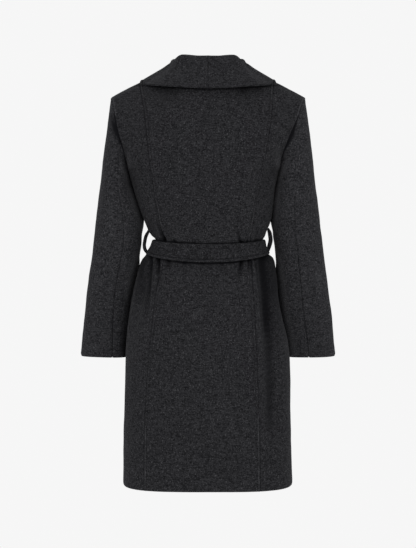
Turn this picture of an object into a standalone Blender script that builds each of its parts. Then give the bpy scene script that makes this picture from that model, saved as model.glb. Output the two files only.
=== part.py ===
"""A belted wool wrap coat with a shawl collar, filled out as if worn, with no wearer in it.

Metres, +Z up. The back of the coat faces -Y and its fronts face +Y, so +X is the wearer's right.
The origin is on the centre line, level with the points where the shoulder seams meet the neck.
Each piece is a wall of cloth: rows of outer points worked out from the tables below, with the
inner face one thickness behind them.
"""

from math import cos, exp, pi, sin, sqrt, tau

import bmesh
import bpy
from mathutils import Vector
from mathutils.bvhtree import BVHTree

# Driving dimensions
CLOTH = 0.0026  # one layer of the coat's wool
DOUBLE_CLOTH = 0.0044  # collar, belt and carriers are two layers
SEAM_GAP = 0.0003
UNDERARM_HEIGHT = -0.235
SHOULDER_TIP_HEIGHT = -0.067
SHOULDER_TIP_OUT = 0.220
SHOULDER_TIP_Y = -0.010
NECK_HALF_WIDTH = 0.075
BACK_NECK_DEPTH = 0.065
BACK_NECK_DROP = 0.020
FRONT_NECK_DEPTH = 0.045
BACK_AT_UNDERARM = 0.129
FRONT_AT_UNDERARM = 0.134
BLADE_FULLNESS = 0.006
HEM_HEIGHT = -0.947
UNDER_FRONT_STEP = 0.0046  # how far the wearer's left front lies under the right one
BELT_LIFT = 0.0016  # from the coat to the back of the belt
QUARTER_GIRTH = 0.155  # the shortest quarter of the way round, for the seams' gaps
BACK_COLUMNS = 14
SIDE_COLUMNS = 7
FRONT_COLUMNS = 14
BELT_END_SECTIONS = 14

# Level rings from the hem to the underarm. The half width and depths are to the outer face.
RINGS = (
    # height, half_width, lean, back, front, squareness
    (HEM_HEIGHT, 0.1950, -0.0007, 0.150, 0.146, 3.00),
    (-0.850, 0.1930, -0.0015, 0.149, 0.144, 2.85),
    (-0.760, 0.1908, -0.0015, 0.148, 0.142, 2.70),
    (-0.670, 0.1895, -0.0007, 0.146, 0.139, 2.55),
    (-0.620, 0.1850, -0.0020, 0.144, 0.137, 2.50),
    (-0.575, 0.1790, -0.0035, 0.141, 0.134, 2.50),
    (-0.524, 0.1708, -0.0033, 0.136, 0.130, 2.45),
    (-0.488, 0.1650, -0.0015, 0.130, 0.125, 2.40),
    (-0.461, 0.1600, -0.0003, 0.122, 0.118, 2.40),
    (-0.449, 0.1530, 0.0000, 0.117, 0.114, 2.35),
    (-0.441, 0.1440, 0.0008, 0.112, 0.110, 2.35),
    (-0.435, 0.1258, 0.0022, 0.104, 0.103, 2.30),
    (-0.419, 0.1240, 0.0028, 0.103, 0.102, 2.30),
    (-0.404, 0.1240, 0.0028, 0.103, 0.102, 2.30),
    (-0.395, 0.1295, 0.0022, 0.106, 0.105, 2.30),
    (-0.380, 0.1355, 0.0010, 0.109, 0.109, 2.30),
    (-0.358, 0.1430, -0.0005, 0.113, 0.114, 2.30),
    (-0.320, 0.1535, -0.0040, 0.119, 0.121, 2.30),
    (-0.275, 0.1645, -0.0085, 0.125, 0.129, 2.35),
    (UNDERARM_HEIGHT, 0.1740, -0.0095, BACK_AT_UNDERARM, FRONT_AT_UNDERARM, 2.40),
)

# Above the underarm, rise goes from 0 there to 1 at the neck and the shoulder seam.
# The two edges are the armhole's: how far it lies behind and in front of the shoulder line.
ARMHOLE = (
    # rise, half_width, lean, back_edge, front_edge
    (0.00, 0.1740, -0.0095, 0.000, 0.000),
    (0.03, 0.1752, -0.0095, 0.018, 0.016),
    (0.10, 0.1778, -0.0092, 0.034, 0.030),
    (0.20, 0.1825, -0.0085, 0.047, 0.042),
    (0.35, 0.1895, -0.0060, 0.058, 0.052),
    (0.50, 0.1962, -0.0028, 0.062, 0.055),
    (0.70, 0.2055, -0.0012, 0.058, 0.050),
    (0.85, 0.2125, -0.0005, 0.050, 0.041),
    (0.95, 0.2175, -0.0002, 0.033, 0.022),
    (1.00, SHOULDER_TIP_OUT, 0.0000, -SHOULDER_TIP_Y, SHOULDER_TIP_Y),
)

# Where the shoulder-to-hem seams of the back cross each height, out from the centre line
PRINCESS_SEAMS = (
    # height, left_out, right_out
    (HEM_HEIGHT, 0.1440, 0.1170),
    (-0.820, 0.1420, 0.1150),
    (-0.700, 0.1360, 0.1110),
    (-0.560, 0.1230, 0.1040),
    (-0.450, 0.1070, 0.0970),
    (-0.400, 0.1010, 0.0950),
    (-0.350, 0.1090, 0.1020),
    (-0.300, 0.1180, 0.1110),
    (-0.235, 0.1270, 0.1240),
    (-0.180, 0.1340, 0.1320),
    (-0.100, 0.1430, 0.1430),
    (-0.030, 0.1560, 0.1490),
)

# The inner edge of a front: the fold of the lapel down to the waist, then the edge of the wrap.
# Out is towards the front's own side, so it is negative past the centre line.
FRONT_EDGE = (
    # height, out
    (HEM_HEIGHT, -0.096),
    (-0.700, -0.094),
    (-0.520, -0.084),
    (-0.440, -0.070),
    (-0.385, -0.038),
    (-0.330, -0.012),
    (-0.270, 0.012),
    (-0.200, 0.035),
    (-0.120, 0.055),
    (-0.050, 0.068),
    (0.000, NECK_HALF_WIDTH),
)
LAPEL_END_LEFT = -0.262  # the left lapel runs out where the right front crosses it
LAPEL_END_RIGHT = -0.368

# The largest folds. Around is the angle from the centre back in degrees, + to the wearer's
# right; depth is + outwards.
FOLDS = (
    # top, bottom, around_top, around_bottom, width_deg, depth
    (-0.428, -0.990, 54.0, 48.0, 7.0, -0.0085),
    (-0.432, -0.800, 38.0, 35.0, 7.0, 0.0050),
    (-0.432, -0.660, -55.0, -63.0, 6.0, -0.0070),
    (-0.436, -0.560, -30.0, -31.0, 6.0, 0.0035),
    (-0.310, -0.392, -38.0, -32.0, 5.0, -0.0045),
    (-0.330, -0.394, 22.0, 27.0, 5.0, -0.0035),
    (-0.180, -0.400, 64.0, 52.0, 9.0, -0.0050),
    (-0.430, -0.820, 142.0, 136.0, 8.0, -0.0070),
    (-0.430, -0.760, -140.0, -130.0, 8.0, -0.0060),
    (-0.430, -0.640, 168.0, 172.0, 7.0, 0.0040),
    (-0.300, -0.394, 140.0, 146.0, 6.0, -0.0040),
    (-0.300, -0.394, -138.0, -146.0, 6.0, -0.0040),
)

# The sleeve's rings below the armhole, for the wearer's right; the left is its mirror image.
SLEEVE_RINGS = (
    # outer_x, inner_x, y, height, half_depth, lift_outside
    (0.2435, 0.1705, 0.004, -0.262, 0.068, 0.004),
    (0.2522, 0.1565, 0.006, -0.320, 0.066, 0.004),
    (0.2600, 0.1515, 0.011, -0.380, 0.062, 0.003),
    (0.2685, 0.1605, 0.021, -0.440, 0.058, 0.002),
    (0.2785, 0.1705, 0.034, -0.500, 0.055, 0.002),
    (0.2870, 0.1765, 0.049, -0.560, 0.051, 0.003),
    (0.2940, 0.1830, 0.066, -0.618, 0.048, 0.003),
    (0.2990, 0.1865, 0.079, -0.666, 0.046, 0.003),
)
SLEEVE_SQUARENESS = 2.25
# The hind-arm seam, in degrees back from the outermost line of the sleeve
HIND_SEAM = {"left": (104.0, 110.0), "right": (98.0, 98.0)}
FORE_SEAM = 262.0
SLEEVE_GIRTH = 0.31
UNDERARM_ROLL = 0.0050  # the sleeve rolls out and down from the lowest part of the armhole
SLEEVE_PLACES = (
    -1.0, -0.9, -0.75, -0.55, -0.35, -0.17, 0.0, 0.12, 0.25, 0.38, 0.51, 0.64, 0.76, 0.88, 1.0,
)  # fmt: skip
# The columns between the seams of a sleeve piece keep within these angles, clear of both seams
UNDER_COLUMNS = (116.0, 256.0)
UPPER_COLUMNS = (-92.0, 92.0)
SLEEVE_HEAD_REACH = 0.024  # how far the sleeve carries on outwards from the armhole, at the top
UNDERARM_REACH = 0.045  # and lower down
SLEEVE_HEAD_DROOP = 0.016

# Half of the collar, from the centre back to the shoulder. Below that it is a lapel.
# Turn is the half width of its rolled top, and clear is from the coat to the middle of its cloth.
COLLAR_STATIONS = (
    # angle, stand, turn, clear, edge_x, edge_y, edge_z
    (0.0, 0.0350, 0.0080, 0.0038, 0.000, -0.112, -0.0520),
    (18.0, 0.0340, 0.0080, 0.0038, 0.034, -0.110, -0.0510),
    (36.0, 0.0290, 0.0080, 0.0040, 0.074, -0.099, -0.0480),
    (54.0, 0.0210, 0.0080, 0.0050, 0.118, -0.076, -0.0440),
    (72.0, 0.0120, 0.0075, 0.0064, 0.148, -0.040, -0.0400),
    (90.0, 0.0070, 0.0070, 0.0078, 0.160, 0.002, -0.0400),
)
LAPEL_STATIONS = (
    # down (0 at the shoulder, 1 at its end), stand, turn, clear, width, drop of the outer edge
    (0.08, 0.0090, 0.0065, 0.0080, 0.103, 0.050),
    (0.20, 0.0060, 0.0060, 0.0070, 0.110, 0.050),
    (0.36, 0.0030, 0.0055, 0.0050, 0.116, 0.040),
    (0.54, 0.0020, 0.0050, 0.0042, 0.112, 0.026),
    (0.72, 0.0020, 0.0048, 0.0038, 0.090, 0.012),
    (0.87, 0.0020, 0.0046, 0.0038, 0.054, 0.004),
    (0.97, 0.0020, 0.0044, 0.0038, 0.020, 0.000),
)
COLLAR_PUFF = 0.004  # more room than that near the roll

BELT_MIDDLE_BACK = -0.4185
BELT_MIDDLE_RISE = 0.0120  # at the sides
BELT_HALF_WIDTH = 0.0205
BELT_NARROWING = 0.0060  # at the sides, where the belt is crushed
BELT_SECTIONS = 48
KNOT_X = -0.030
KNOT_HEIGHT = -0.4205
KNOT_HALF = (0.027, 0.014, 0.029)
KNOT_CLEARANCE = 0.0010
KNOT_RINGS, KNOT_COLUMNS = 9, 16
KNOT_FOOT = KNOT_HEIGHT - KNOT_HALF[2] * 0.953
END_GAP = 0.0026  # the slanted top of an end is just clear of the knot
# The hanging ends, from under the knot: the second lies beside the first
BELT_END_RIGHT = (
    # height, x, width, off the skirt
    (KNOT_FOOT - END_GAP, -0.0215, 0.016, 0.0075),
    (-0.500, -0.008, 0.034, 0.0030),
    (-0.580, 0.004, 0.040, 0.0016),
    (-0.680, 0.010, 0.042, 0.0022),
    (-0.790, 0.008, 0.042, 0.0016),
)
BELT_END_LEFT = (
    (KNOT_FOOT - END_GAP, -0.0385, 0.016, 0.0075),
    (-0.500, -0.054, 0.032, 0.0030),
    (-0.580, -0.064, 0.040, 0.0016),
    (-0.660, -0.072, 0.042, 0.0022),
    (-0.735, -0.074, 0.042, 0.0016),
)
CARRIER_WIDTH = 0.010
CARRIER_COLUMNS = 10
# Each carrier, a turned tube of cloth, from its upper end to its lower one
CARRIER_LEFT = (
    # height, how far it stands off the coat, thickness
    (-0.3650, 0.0000, 0.0030),
    (-0.3730, 0.0010, 0.0040),
    (-0.3830, 0.0080, 0.0060),
    (-0.3920, 0.0190, 0.0065),
    (-0.4060, 0.0207, 0.0065),
    (-0.4150, 0.0195, 0.0065),
    (-0.4220, 0.0140, 0.0060),
    (-0.4280, 0.0030, 0.0045),
    (-0.4340, 0.0000, 0.0030),
)
CARRIER_RIGHT = (
    (-0.3640, 0.0000, 0.0030),
    (-0.3715, 0.0010, 0.0040),
    (-0.3810, 0.0085, 0.0060),
    (-0.3900, 0.0142, 0.0065),
    (-0.4020, 0.0138, 0.0065),
    (-0.4120, 0.0098, 0.0065),
    (-0.4190, 0.0074, 0.0060),
    (-0.4240, 0.0072, 0.0050),
    (-0.4290, 0.0020, 0.0040),
    (-0.4340, 0.0000, 0.0030),
)

COLOURS = {
    "wool": (0.022, 0.022, 0.024, 1.0),
}


def remove_everything():
    for thing in list(bpy.data.objects):
        bpy.data.objects.remove(thing, do_unlink=True)


def read(table, where, column):
    """The column's value at this place, on a smooth curve through the table's rows."""
    rows = table if table[0][0] < table[-1][0] else table[::-1]
    last = len(rows) - 1
    if where <= rows[0][0]:
        return rows[0][column]
    if where >= rows[last][0]:
        return rows[last][column]
    k = next(i for i in range(last) if where <= rows[i + 1][0])
    span = rows[k + 1][0] - rows[k][0]
    part = (where - rows[k][0]) / span

    def slope(i):
        low, high = max(i - 1, 0), min(i + 1, last)
        return (rows[high][column] - rows[low][column]) / (rows[high][0] - rows[low][0]) * span

    a, b = rows[k][column], rows[k + 1][column]
    square, cube = part * part, part * part * part
    return (
        a * (2 * cube - 3 * square + 1)
        + slope(k) * (cube - 2 * square + part)
        + b * (3 * square - 2 * cube)
        + slope(k + 1) * (cube - square)
    )


def ease(value):
    value = min(max(value, 0.0), 1.0)
    return value * value * (3 - 2 * value)


def girth_arc(around, squareness, opened):
    """A quarter of the girth: out from the centre line, and how much of the depth is left."""
    angle = around * pi / 2
    s, c = abs(sin(angle)), abs(cos(angle))
    size = (s**squareness + c**squareness) ** (-1 / squareness)
    out, deep = size * s, size * c
    end = (1 - 0.30 * opened) * pi / 2
    cut_out = sin(around * end) / sin(end)
    cut_deep = (cos(around * end) - cos(end)) / (1 - cos(end))
    return out + (cut_out - out) * opened, deep + (cut_deep - deep) * opened


def waist_bend(height, around):
    """The rings at the waist rise to the sides, as the belt does."""
    return BELT_MIDDLE_RISE * sin(around * pi / 2) ** 2 * exp(-(((height + 0.41) / 0.05) ** 2))


def fold_depth(side, front, around, height):
    angle = around * 90.0 * side
    if front:
        angle = side * (180.0 - around * 90.0)
    total = 0.0
    for top, bottom, at_top, at_bottom, width, depth in FOLDS:
        if not bottom < height < top:
            continue
        down = (top - height) / (top - bottom)
        off = (angle - (at_top + (at_bottom - at_top) * down)) / width
        strength = min(1.0, down / 0.10) * (1 - ease((down - 0.45) / 0.55))
        total += depth * exp(-off * off) * ease(strength)
    return total


def lower_point(side, front, around, height):
    half, lean = read(RINGS, height, 1), read(RINGS, height, 2)
    deep = read(RINGS, height, 4 if front else 3)
    out, share = girth_arc(around, read(RINGS, height, 5), 0.0)
    swell = 1 + fold_depth(side, front, around, height) / 0.14
    facing = 1 if front else -1
    bend = waist_bend(height, around)
    return Vector((lean + side * half * out * swell, facing * deep * share * swell, height + bend))


def shoulder_line(share, front):
    """The top edge: the neck, then the shoulder seam. Share is of the shoulder's half width."""
    neck = NECK_HALF_WIDTH / SHOULDER_TIP_OUT
    if share >= neck:
        part = (share - neck) / (1 - neck)
        crown = 0.004 * sin(pi * part)
        return SHOULDER_TIP_Y * part, SHOULDER_TIP_HEIGHT * part + crown
    curve = sqrt(1 - (share / neck) ** 2)
    if front:
        return FRONT_NECK_DEPTH * curve, 0.0
    return -BACK_NECK_DEPTH * curve, -BACK_NECK_DROP * curve * curve


def upper_point(side, front, around, rise):
    half, lean = read(ARMHOLE, rise, 1), read(ARMHOLE, rise, 2)
    edge = read(ARMHOLE, rise, 4) if front else -read(ARMHOLE, rise, 3)
    out, share = girth_arc(around, RINGS[-1][5], ease(rise / 0.4))
    rounding = (1 - min(rise, 1.0) ** 2.6) ** (1 / 1.6)
    if front:
        middle = FRONT_NECK_DEPTH + (FRONT_AT_UNDERARM - FRONT_NECK_DEPTH) * rounding
    else:
        middle = -BACK_NECK_DEPTH - (BACK_AT_UNDERARM - BACK_NECK_DEPTH) * rounding
        middle -= BLADE_FULLNESS * sin(pi * min(rise / 0.6, 1.0)) ** 2
    top_y, top_z = shoulder_line(out, front)
    top_middle = FRONT_NECK_DEPTH if front else -BACK_NECK_DEPTH
    top_share = (top_y - SHOULDER_TIP_Y) / (top_middle - SHOULDER_TIP_Y)
    blend = ease((rise - 0.5) / 0.5) ** 1.3
    share += (top_share - share) * blend
    height = UNDERARM_HEIGHT + (top_z - UNDERARM_HEIGHT) * rise
    swell = fold_depth(side, front, around, height) * (1 - ease(rise * 2))
    y = edge + (middle - edge) * share
    facing = 1 if front else -1
    return Vector((lean + side * (half * out + swell * out), y + facing * swell * share, height))


def coat_point(side, front, around, level):
    """A point of the coat's outer face. Level is a height below the underarm, a rise above 0."""
    if level < UNDERARM_HEIGHT:
        return lower_point(side, front, around, level)
    if level <= 0:
        return lower_point(side, front, around, UNDERARM_HEIGHT)
    return upper_point(side, front, around, min(level, 1.0))


def coat_normal(side, front, around, level):
    """Outwards from the coat at that point, which is the same on both sides of a seam."""
    step = 0.012
    near, far = max(around - step, 0.0), min(around + step, 1.0)
    if level < UNDERARM_HEIGHT:
        low, high = level - step * 0.3, min(level + step * 0.3, UNDERARM_HEIGHT)
    else:
        low, high = max(level - step, 0.0), min(max(level, 0.0) + step, 1.0)
    across = coat_point(side, front, far, level) - coat_point(side, front, near, level)
    middle = min(around, 0.985)
    up = coat_point(side, front, middle, high) - coat_point(side, front, middle, low)
    normal = across.cross(up) * side * (-1 if front else 1)
    if level >= 1.0 and abs(coat_point(side, front, around, level).x) > NECK_HALF_WIDTH - 0.001:
        normal.y = 0.0
    if around >= 0.999 and level <= 0:
        normal = Vector((side, 0.0, 0.0))
    return normal.normalized()


def around_for(side, front, out, level):
    """How far round the coat the surface is this far out from the centre line."""
    low, high = 0.0, 1.0
    for _ in range(22):
        middle = (low + high) / 2
        if side * coat_point(side, front, middle, level).x < out:
            low = middle
        else:
            high = middle
    return (low + high) / 2


def level_height(level):
    if level < UNDERARM_HEIGHT:
        return level
    return UNDERARM_HEIGHT * (1 - max(level, 0.0))


def wall(name, rows, outward, thickness, collection, material):
    """One closed piece of cloth from rows of outer points and their outward directions."""
    mesh = bmesh.new()
    outer = [[mesh.verts.new(p) for p in row] for row in rows]
    inner = [
        [mesh.verts.new(p - n * thickness) for p, n in zip(row, normals)]
        for row, normals in zip(rows, outward)
    ]
    last_row, last = len(rows) - 1, len(rows[0]) - 1
    for i in range(last_row):
        for j in range(last):
            quad = (outer[i][j], outer[i][j + 1], outer[i + 1][j + 1], outer[i + 1][j])
            back = (inner[i][j], inner[i + 1][j], inner[i + 1][j + 1], inner[i][j + 1])
            mesh.faces.new(quad)
            mesh.faces.new(back)
    for i in range(last_row):
        mesh.faces.new((outer[i][0], outer[i + 1][0], inner[i + 1][0], inner[i][0]))
        mesh.faces.new((outer[i][last], inner[i][last], inner[i + 1][last], outer[i + 1][last]))
    for j in range(last):
        mesh.faces.new((outer[0][j], inner[0][j], inner[0][j + 1], outer[0][j + 1]))
        mesh.faces.new(
            (outer[last_row][j], outer[last_row][j + 1], inner[last_row][j + 1], inner[last_row][j])
        )
    return finish_mesh(name, mesh, collection, material)


def ring_wall(name, rings, collection, material, closed=True):
    """A closed piece from rings of points; the rings follow each other round, or are capped."""
    mesh = bmesh.new()
    loops = [[mesh.verts.new(p) for p in ring] for ring in rings]
    count = len(loops[0])
    pairs = list(zip(loops, loops[1:]))
    if closed:
        pairs.append((loops[-1], loops[0]))
    else:
        mesh.faces.new(loops[0][::-1])
        mesh.faces.new(loops[-1])
    for one, two in pairs:
        for j in range(count):
            k = (j + 1) % count
            mesh.faces.new((one[j], one[k], two[k], two[j]))
    return finish_mesh(name, mesh, collection, material)


def finish_mesh(name, mesh, collection, material):
    bmesh.ops.triangulate(mesh, faces=mesh.faces[:])
    bmesh.ops.recalc_face_normals(mesh, faces=mesh.faces[:])
    if mesh.calc_volume(signed=True) < 0:
        bmesh.ops.reverse_faces(mesh, faces=mesh.faces[:])
    data = bpy.data.meshes.new(name)
    mesh.to_mesh(data)
    mesh.free()
    data.shade_smooth()
    data.set_sharp_from_angle(angle=0.7)
    data.materials.append(material)
    thing = bpy.data.objects.new(name, data)
    collection.objects.link(thing)
    return thing


LOWER_LEVELS = (
    HEM_HEIGHT, -0.880, -0.805, -0.735, -0.670, -0.610, -0.556, -0.514, -0.484, -0.461, -0.449,
    -0.441, -0.435, -0.419, -0.404, -0.395, -0.380, -0.356, -0.320, -0.277,
)  # fmt: skip
UPPER_LEVELS = (0.0, 0.03, 0.10, 0.21, 0.36, 0.52, 0.67, 0.80, 0.91, 0.97, 1.0)
LEVELS = LOWER_LEVELS + UPPER_LEVELS


def princess(side, level):
    column = 2 if side > 0 else 1
    height = level_height(level)
    if level >= 0:
        height = UNDERARM_HEIGHT + (-0.030 - UNDERARM_HEIGHT) * level
    return around_for(side, False, read(PRINCESS_SEAMS, height, column), level)


def back_panel(name, side_from, side_to, columns, collection, material):
    """A strip of the back between two of its seams; each seam is a function of the level."""
    gap = SEAM_GAP / 2 / QUARTER_GIRTH
    rows, normals = [], []
    for level in LEVELS:
        start, end = side_from(level), side_to(level)
        start += gap
        end -= gap
        row, outward = [], []
        for j in range(columns + 1):
            place = start + (end - start) * j / columns
            side = 1 if place >= 0 else -1
            row.append(coat_point(side, False, abs(place), level))
            outward.append(coat_normal(side, False, abs(place), level))
        rows.append(row)
        normals.append(outward)
    return wall(name, rows, normals, CLOTH, collection, material)


def under_step(side, x):
    """The left front steps in where the right front lies over it."""
    if side > 0:
        return 0.0
    return UNDER_FRONT_STEP * ease((x + 0.165) / 0.045)


def front_inner_edge(side, level):
    """How far round from the centre front the front's inner edge is; negative past it."""
    height = level_height(level)
    out = read(FRONT_EDGE, height, 1)
    if out >= 0:
        return around_for(side, True, out, level)
    return -around_for(-side, True, -out, level)


def front_point(side, place, level):
    """A point of a front, which may run past the centre line, with its outward direction."""
    own = side if place >= 0 else -side
    point = coat_point(own, True, abs(place), level)
    normal = coat_normal(own, True, abs(place), level)
    return point - normal * under_step(side, point.x), normal


def front_panel(name, side, collection, material):
    gap = SEAM_GAP / 2 / QUARTER_GIRTH
    rows, normals = [], []
    for level in LEVELS:
        start, end = front_inner_edge(side, level), 1.0 - gap
        if level >= 1.0:
            start = around_for(side, True, NECK_HALF_WIDTH, level)
        pairs = [
            front_point(side, start + (end - start) * j / FRONT_COLUMNS, level)
            for j in range(FRONT_COLUMNS + 1)
        ]
        rows.append([p for p, _ in pairs])
        normals.append([n for _, n in pairs])
    lower_top_row(rows)
    return wall(name, rows, normals, CLOTH, collection, material)


def lower_top_row(rows):
    """The front's end of the shoulder seam stays a seam gap in front of the back's."""
    rows[-1] = [p + Vector((0.0, SEAM_GAP, 0.0)) for p in rows[-1]]


def armhole(side):
    """The armhole's points from the shoulder tip down the back and up the front again, with the
    angle round the sleeve, the outward direction and the way on into the sleeve at each."""
    down = UPPER_LEVELS[::-1]
    places = [(False, level) for level in down] + [(True, level) for level in down[-2::-1]]
    points = [coat_point(side, front, 1.0, level) for front, level in places]
    normals = [coat_normal(side, front, 1.0, level) for front, level in places]
    normals[0] = normals[-1] = (normals[0] + normals[-1]).normalized()
    half = len(down) - 1
    normals[half] = Vector((side, 0.0, 0.0))
    lengths = [0.0]
    for a, b in zip(points, points[1:]):
        lengths.append(lengths[-1] + (b - a).length)
    rows = []
    last = len(points) - 1
    for k, (point, normal) in enumerate(zip(points, normals)):
        if k <= half:
            angle = 180.0 * lengths[k] / lengths[half]
        else:
            angle = 180.0 + 180.0 * (lengths[k] - lengths[half]) / (lengths[last] - lengths[half])
        before = points[k - 1] if k else points[last - 1]
        after = points[k + 1] if k < last else points[1]
        way = normal.cross(after - before) * side
        rows.append((angle, point, normal, way.normalized()))
    return rows


def armhole_at(rows, angle):
    angle %= 360.0
    k = next(i for i in range(len(rows) - 1) if angle <= rows[i + 1][0])
    part = (angle - rows[k][0]) / (rows[k + 1][0] - rows[k][0])
    point, normal, way = (rows[k][c].lerp(rows[k + 1][c], part) for c in (1, 2, 3))
    return point, normal.normalized(), way.normalized()


def sleeve_ring_point(side, place, angle):
    """A point of the arm's ring at this place, 0 under the armhole and 1 at the cuff."""
    table = [(k / (len(SLEEVE_RINGS) - 1), *row) for k, row in enumerate(SLEEVE_RINGS)]
    outer_x, inner_x, y, height, half_depth, lift = (read(table, place, c) for c in range(1, 7))
    inner_x += side * read(RINGS, height, 2)  # the coat leans to one side under the arms
    c, s = cos(angle * pi / 180), sin(angle * pi / 180)
    size = (abs(c) ** SLEEVE_SQUARENESS + abs(s) ** SLEEVE_SQUARENESS) ** (-1 / SLEEVE_SQUARENESS)
    x = (outer_x + inner_x) / 2 + (outer_x - inner_x) / 2 * size * c
    return Vector((side * x, y - half_depth * size * s, height + lift * c))


def sleeve_point(side, rows, angle, place):
    """A point of the sleeve's outer face: place runs from -1 at the armhole through 0 under it
    to 1 at the cuff. The angle starts at the shoulder tip and goes down the back first."""
    if place >= 0:
        return sleeve_ring_point(side, place, angle)
    part = place + 1
    edge, normal, way = armhole_at(rows, angle)
    start = edge + way * SEAM_GAP * (2.8 if abs(angle - 180.0) < 50.0 else 1.2)
    target = sleeve_ring_point(side, 0.0, angle)
    span = (target - start).length
    under = max(0.0, -cos(angle * pi / 180))
    over = max(0.0, cos(angle * pi / 180))
    reach = SLEEVE_HEAD_REACH + (UNDERARM_REACH - SLEEVE_HEAD_REACH) * ease(under * 3)
    reach = min(span * 0.9, reach) * (1 - under) * (1 - 0.4 * over)
    leave = way * (reach + UNDERARM_ROLL * 3 * under) - Vector((0.0, 0.0, SLEEVE_HEAD_DROOP * over))
    arrive = Vector((side * 0.10, 0.02, -1.0)).normalized() * span * (0.9 + 0.9 * under)
    square, cube = part * part, part**3
    point = (
        start * (2 * cube - 3 * square + 1)
        + leave * (cube - 2 * square + part)
        + target * (3 * square - 2 * cube)
        + arrive * (cube - square)
    )
    roll = UNDERARM_ROLL * under * under * sin(pi * part) ** 0.7
    return point + Vector((side * roll, 0.0, 0.0))


def sleeve_normal(side, rows, angle, place):
    if place <= -1:
        return armhole_at(rows, angle)[1]
    step = 0.02
    around = sleeve_point(side, rows, angle + 3, place) - sleeve_point(side, rows, angle - 3, place)
    low, high = max(place - step, -1.0), min(place + step, 1.0)
    down = sleeve_point(side, rows, angle, high) - sleeve_point(side, rows, angle, low)
    return (around.cross(down) * -side).normalized()


def sleeve_piece(name, side, under, collection, material):
    """The strip of the sleeve between its hind-arm and fore-arm seams."""
    rows = armhole(side)
    hind_top, hind_cuff = HIND_SEAM["right" if side > 0 else "left"]
    gap = SEAM_GAP / 2 / SLEEVE_GIRTH * 360.0
    grid, outward = [], []
    for place in SLEEVE_PLACES:
        hind = hind_top + (hind_cuff - hind_top) * max(place, 0.0)
        start, end = FORE_SEAM - 360.0 + gap, hind - gap
        lowest, highest = UPPER_COLUMNS
        if under:
            start, end = hind + gap, FORE_SEAM - gap
            lowest, highest = UNDER_COLUMNS
        angles = [row[0] - 360.0 for row in rows[:-1]] + [row[0] for row in rows]
        inside = [a for a in angles if lowest < a < highest]
        columns = [start, *inside, end]
        grid.append([sleeve_point(side, rows, a, place) for a in columns])
        outward.append([sleeve_normal(side, rows, a, place) for a in columns])
    return wall(name, grid, outward, CLOTH, collection, material)


def body_tree():
    """The coat's outer face, as a surface to lay the collar on."""
    points, faces = [], []
    for side in (-1, 1):
        for front in (False, True):
            start = len(points)
            levels, columns = LOWER_LEVELS[10:] + tuple(k / 24 for k in range(25)), 30
            for level in levels:
                for j in range(columns + 1):
                    points.append(coat_point(side, front, j / columns, level))
            for i in range(len(levels) - 1):
                for j in range(columns):
                    a = start + i * (columns + 1) + j
                    quad = (a, a + 1, a + columns + 2, a + columns + 1)
                    faces.append(quad if (side > 0) != front else quad[::-1])
    return BVHTree.FromPolygons(points, faces)


def lay_on(tree, point, clearance):
    """Moves a point that is nearer to the coat than the clearance out to it."""
    spot, normal, _, _ = tree.find_nearest(point)
    if (point - spot).dot(normal) < clearance:
        return spot + normal * clearance
    return point


def collar_line(seam, rise, out, stand, turn, clear, edge, tree):
    """The middle of the collar's cloth at one station, from its seam to its outer edge."""
    top = seam + rise * stand
    line = [seam, seam + rise * stand * 0.5, top]
    centre = top + out * turn
    for angle in (0.25 * pi, 0.5 * pi, 0.75 * pi):
        line.append(centre - out * turn * cos(angle) + rise * turn * sin(angle))
    start = centre + out * turn
    line.append(start)
    pull = (edge - start).length * 0.33
    for k in range(1, 6):
        part = k / 5
        point = (
            start * (1 - part) ** 3
            + (start - rise * pull * 0.8) * 3 * part * (1 - part) ** 2
            + (edge + (start - edge).normalized() * pull) * 3 * part**2 * (1 - part)
            + edge * part**3
        )
        line.append(lay_on(tree, point, clear + COLLAR_PUFF * (1 - part)))
    return line


def collar_grid(side, tree):
    """Lines of points across the collar, from the centre back down to the lapel's end."""
    lines = []
    for angle, stand, turn, clear, edge_x, edge_y, edge_z in COLLAR_STATIONS:
        a = angle * pi / 180
        seam = Vector((side * NECK_HALF_WIDTH * sin(a), -BACK_NECK_DEPTH * cos(a), 0.0))
        seam.z = -BACK_NECK_DROP * cos(a) ** 2 + 0.0008
        out = Vector((side * sin(a), -cos(a), 0.0)).normalized()
        rise = (Vector((0.0, 0.0, 1.0)) - out * 0.10).normalized()
        edge = Vector((side * edge_x, edge_y, edge_z))
        lines.append(collar_line(seam - out * 0.0038, rise, out, stand, turn, clear, edge, tree))
    end = LAPEL_END_RIGHT if side > 0 else LAPEL_END_LEFT
    for down, stand, turn, clear, width, drop in LAPEL_STATIONS:
        height = end * down
        level = 1 - height / UNDERARM_HEIGHT
        if height < UNDERARM_HEIGHT:
            level = height
        place = front_inner_edge(side, level)
        own = side if place >= 0 else -side
        on_coat = coat_point(own, True, abs(place), level)
        normal = coat_normal(own, True, abs(place), level)
        inward = (Vector((-side, 0.0, 0.35)) - normal * Vector((-side, 0.0, 0.35)).dot(normal))
        inward = inward.normalized()
        early = 1 - ease(down / 0.3)
        rise = (inward + Vector((0.0, 0.0, 1.0)) * early * 1.2).normalized()
        out = (normal - rise * normal.dot(rise)).normalized()
        seam = on_coat + rise * (0.0016 + DOUBLE_CLOTH / 2) - normal * 0.0010
        edge = on_coat + Vector((side * width, 0.0, -drop))
        spot, spot_normal, _, _ = tree.find_nearest(edge + Vector((0.0, 0.02, 0.0)))
        edge = spot + spot_normal * clear
        lines.append(collar_line(seam, rise, out, stand, turn, clear, edge, tree))
    return lines


def open_grid_normals(rows, flip):
    normals = []
    last, end = len(rows) - 1, len(rows[0]) - 1
    for i, row in enumerate(rows):
        outward = []
        for j in range(end + 1):
            along = rows[min(i + 1, last)][j] - rows[max(i - 1, 0)][j]
            across = row[min(j + 1, end)] - row[max(j - 1, 0)]
            outward.append((along.cross(across) * flip).normalized())
        normals.append(outward)
    return normals


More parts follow.
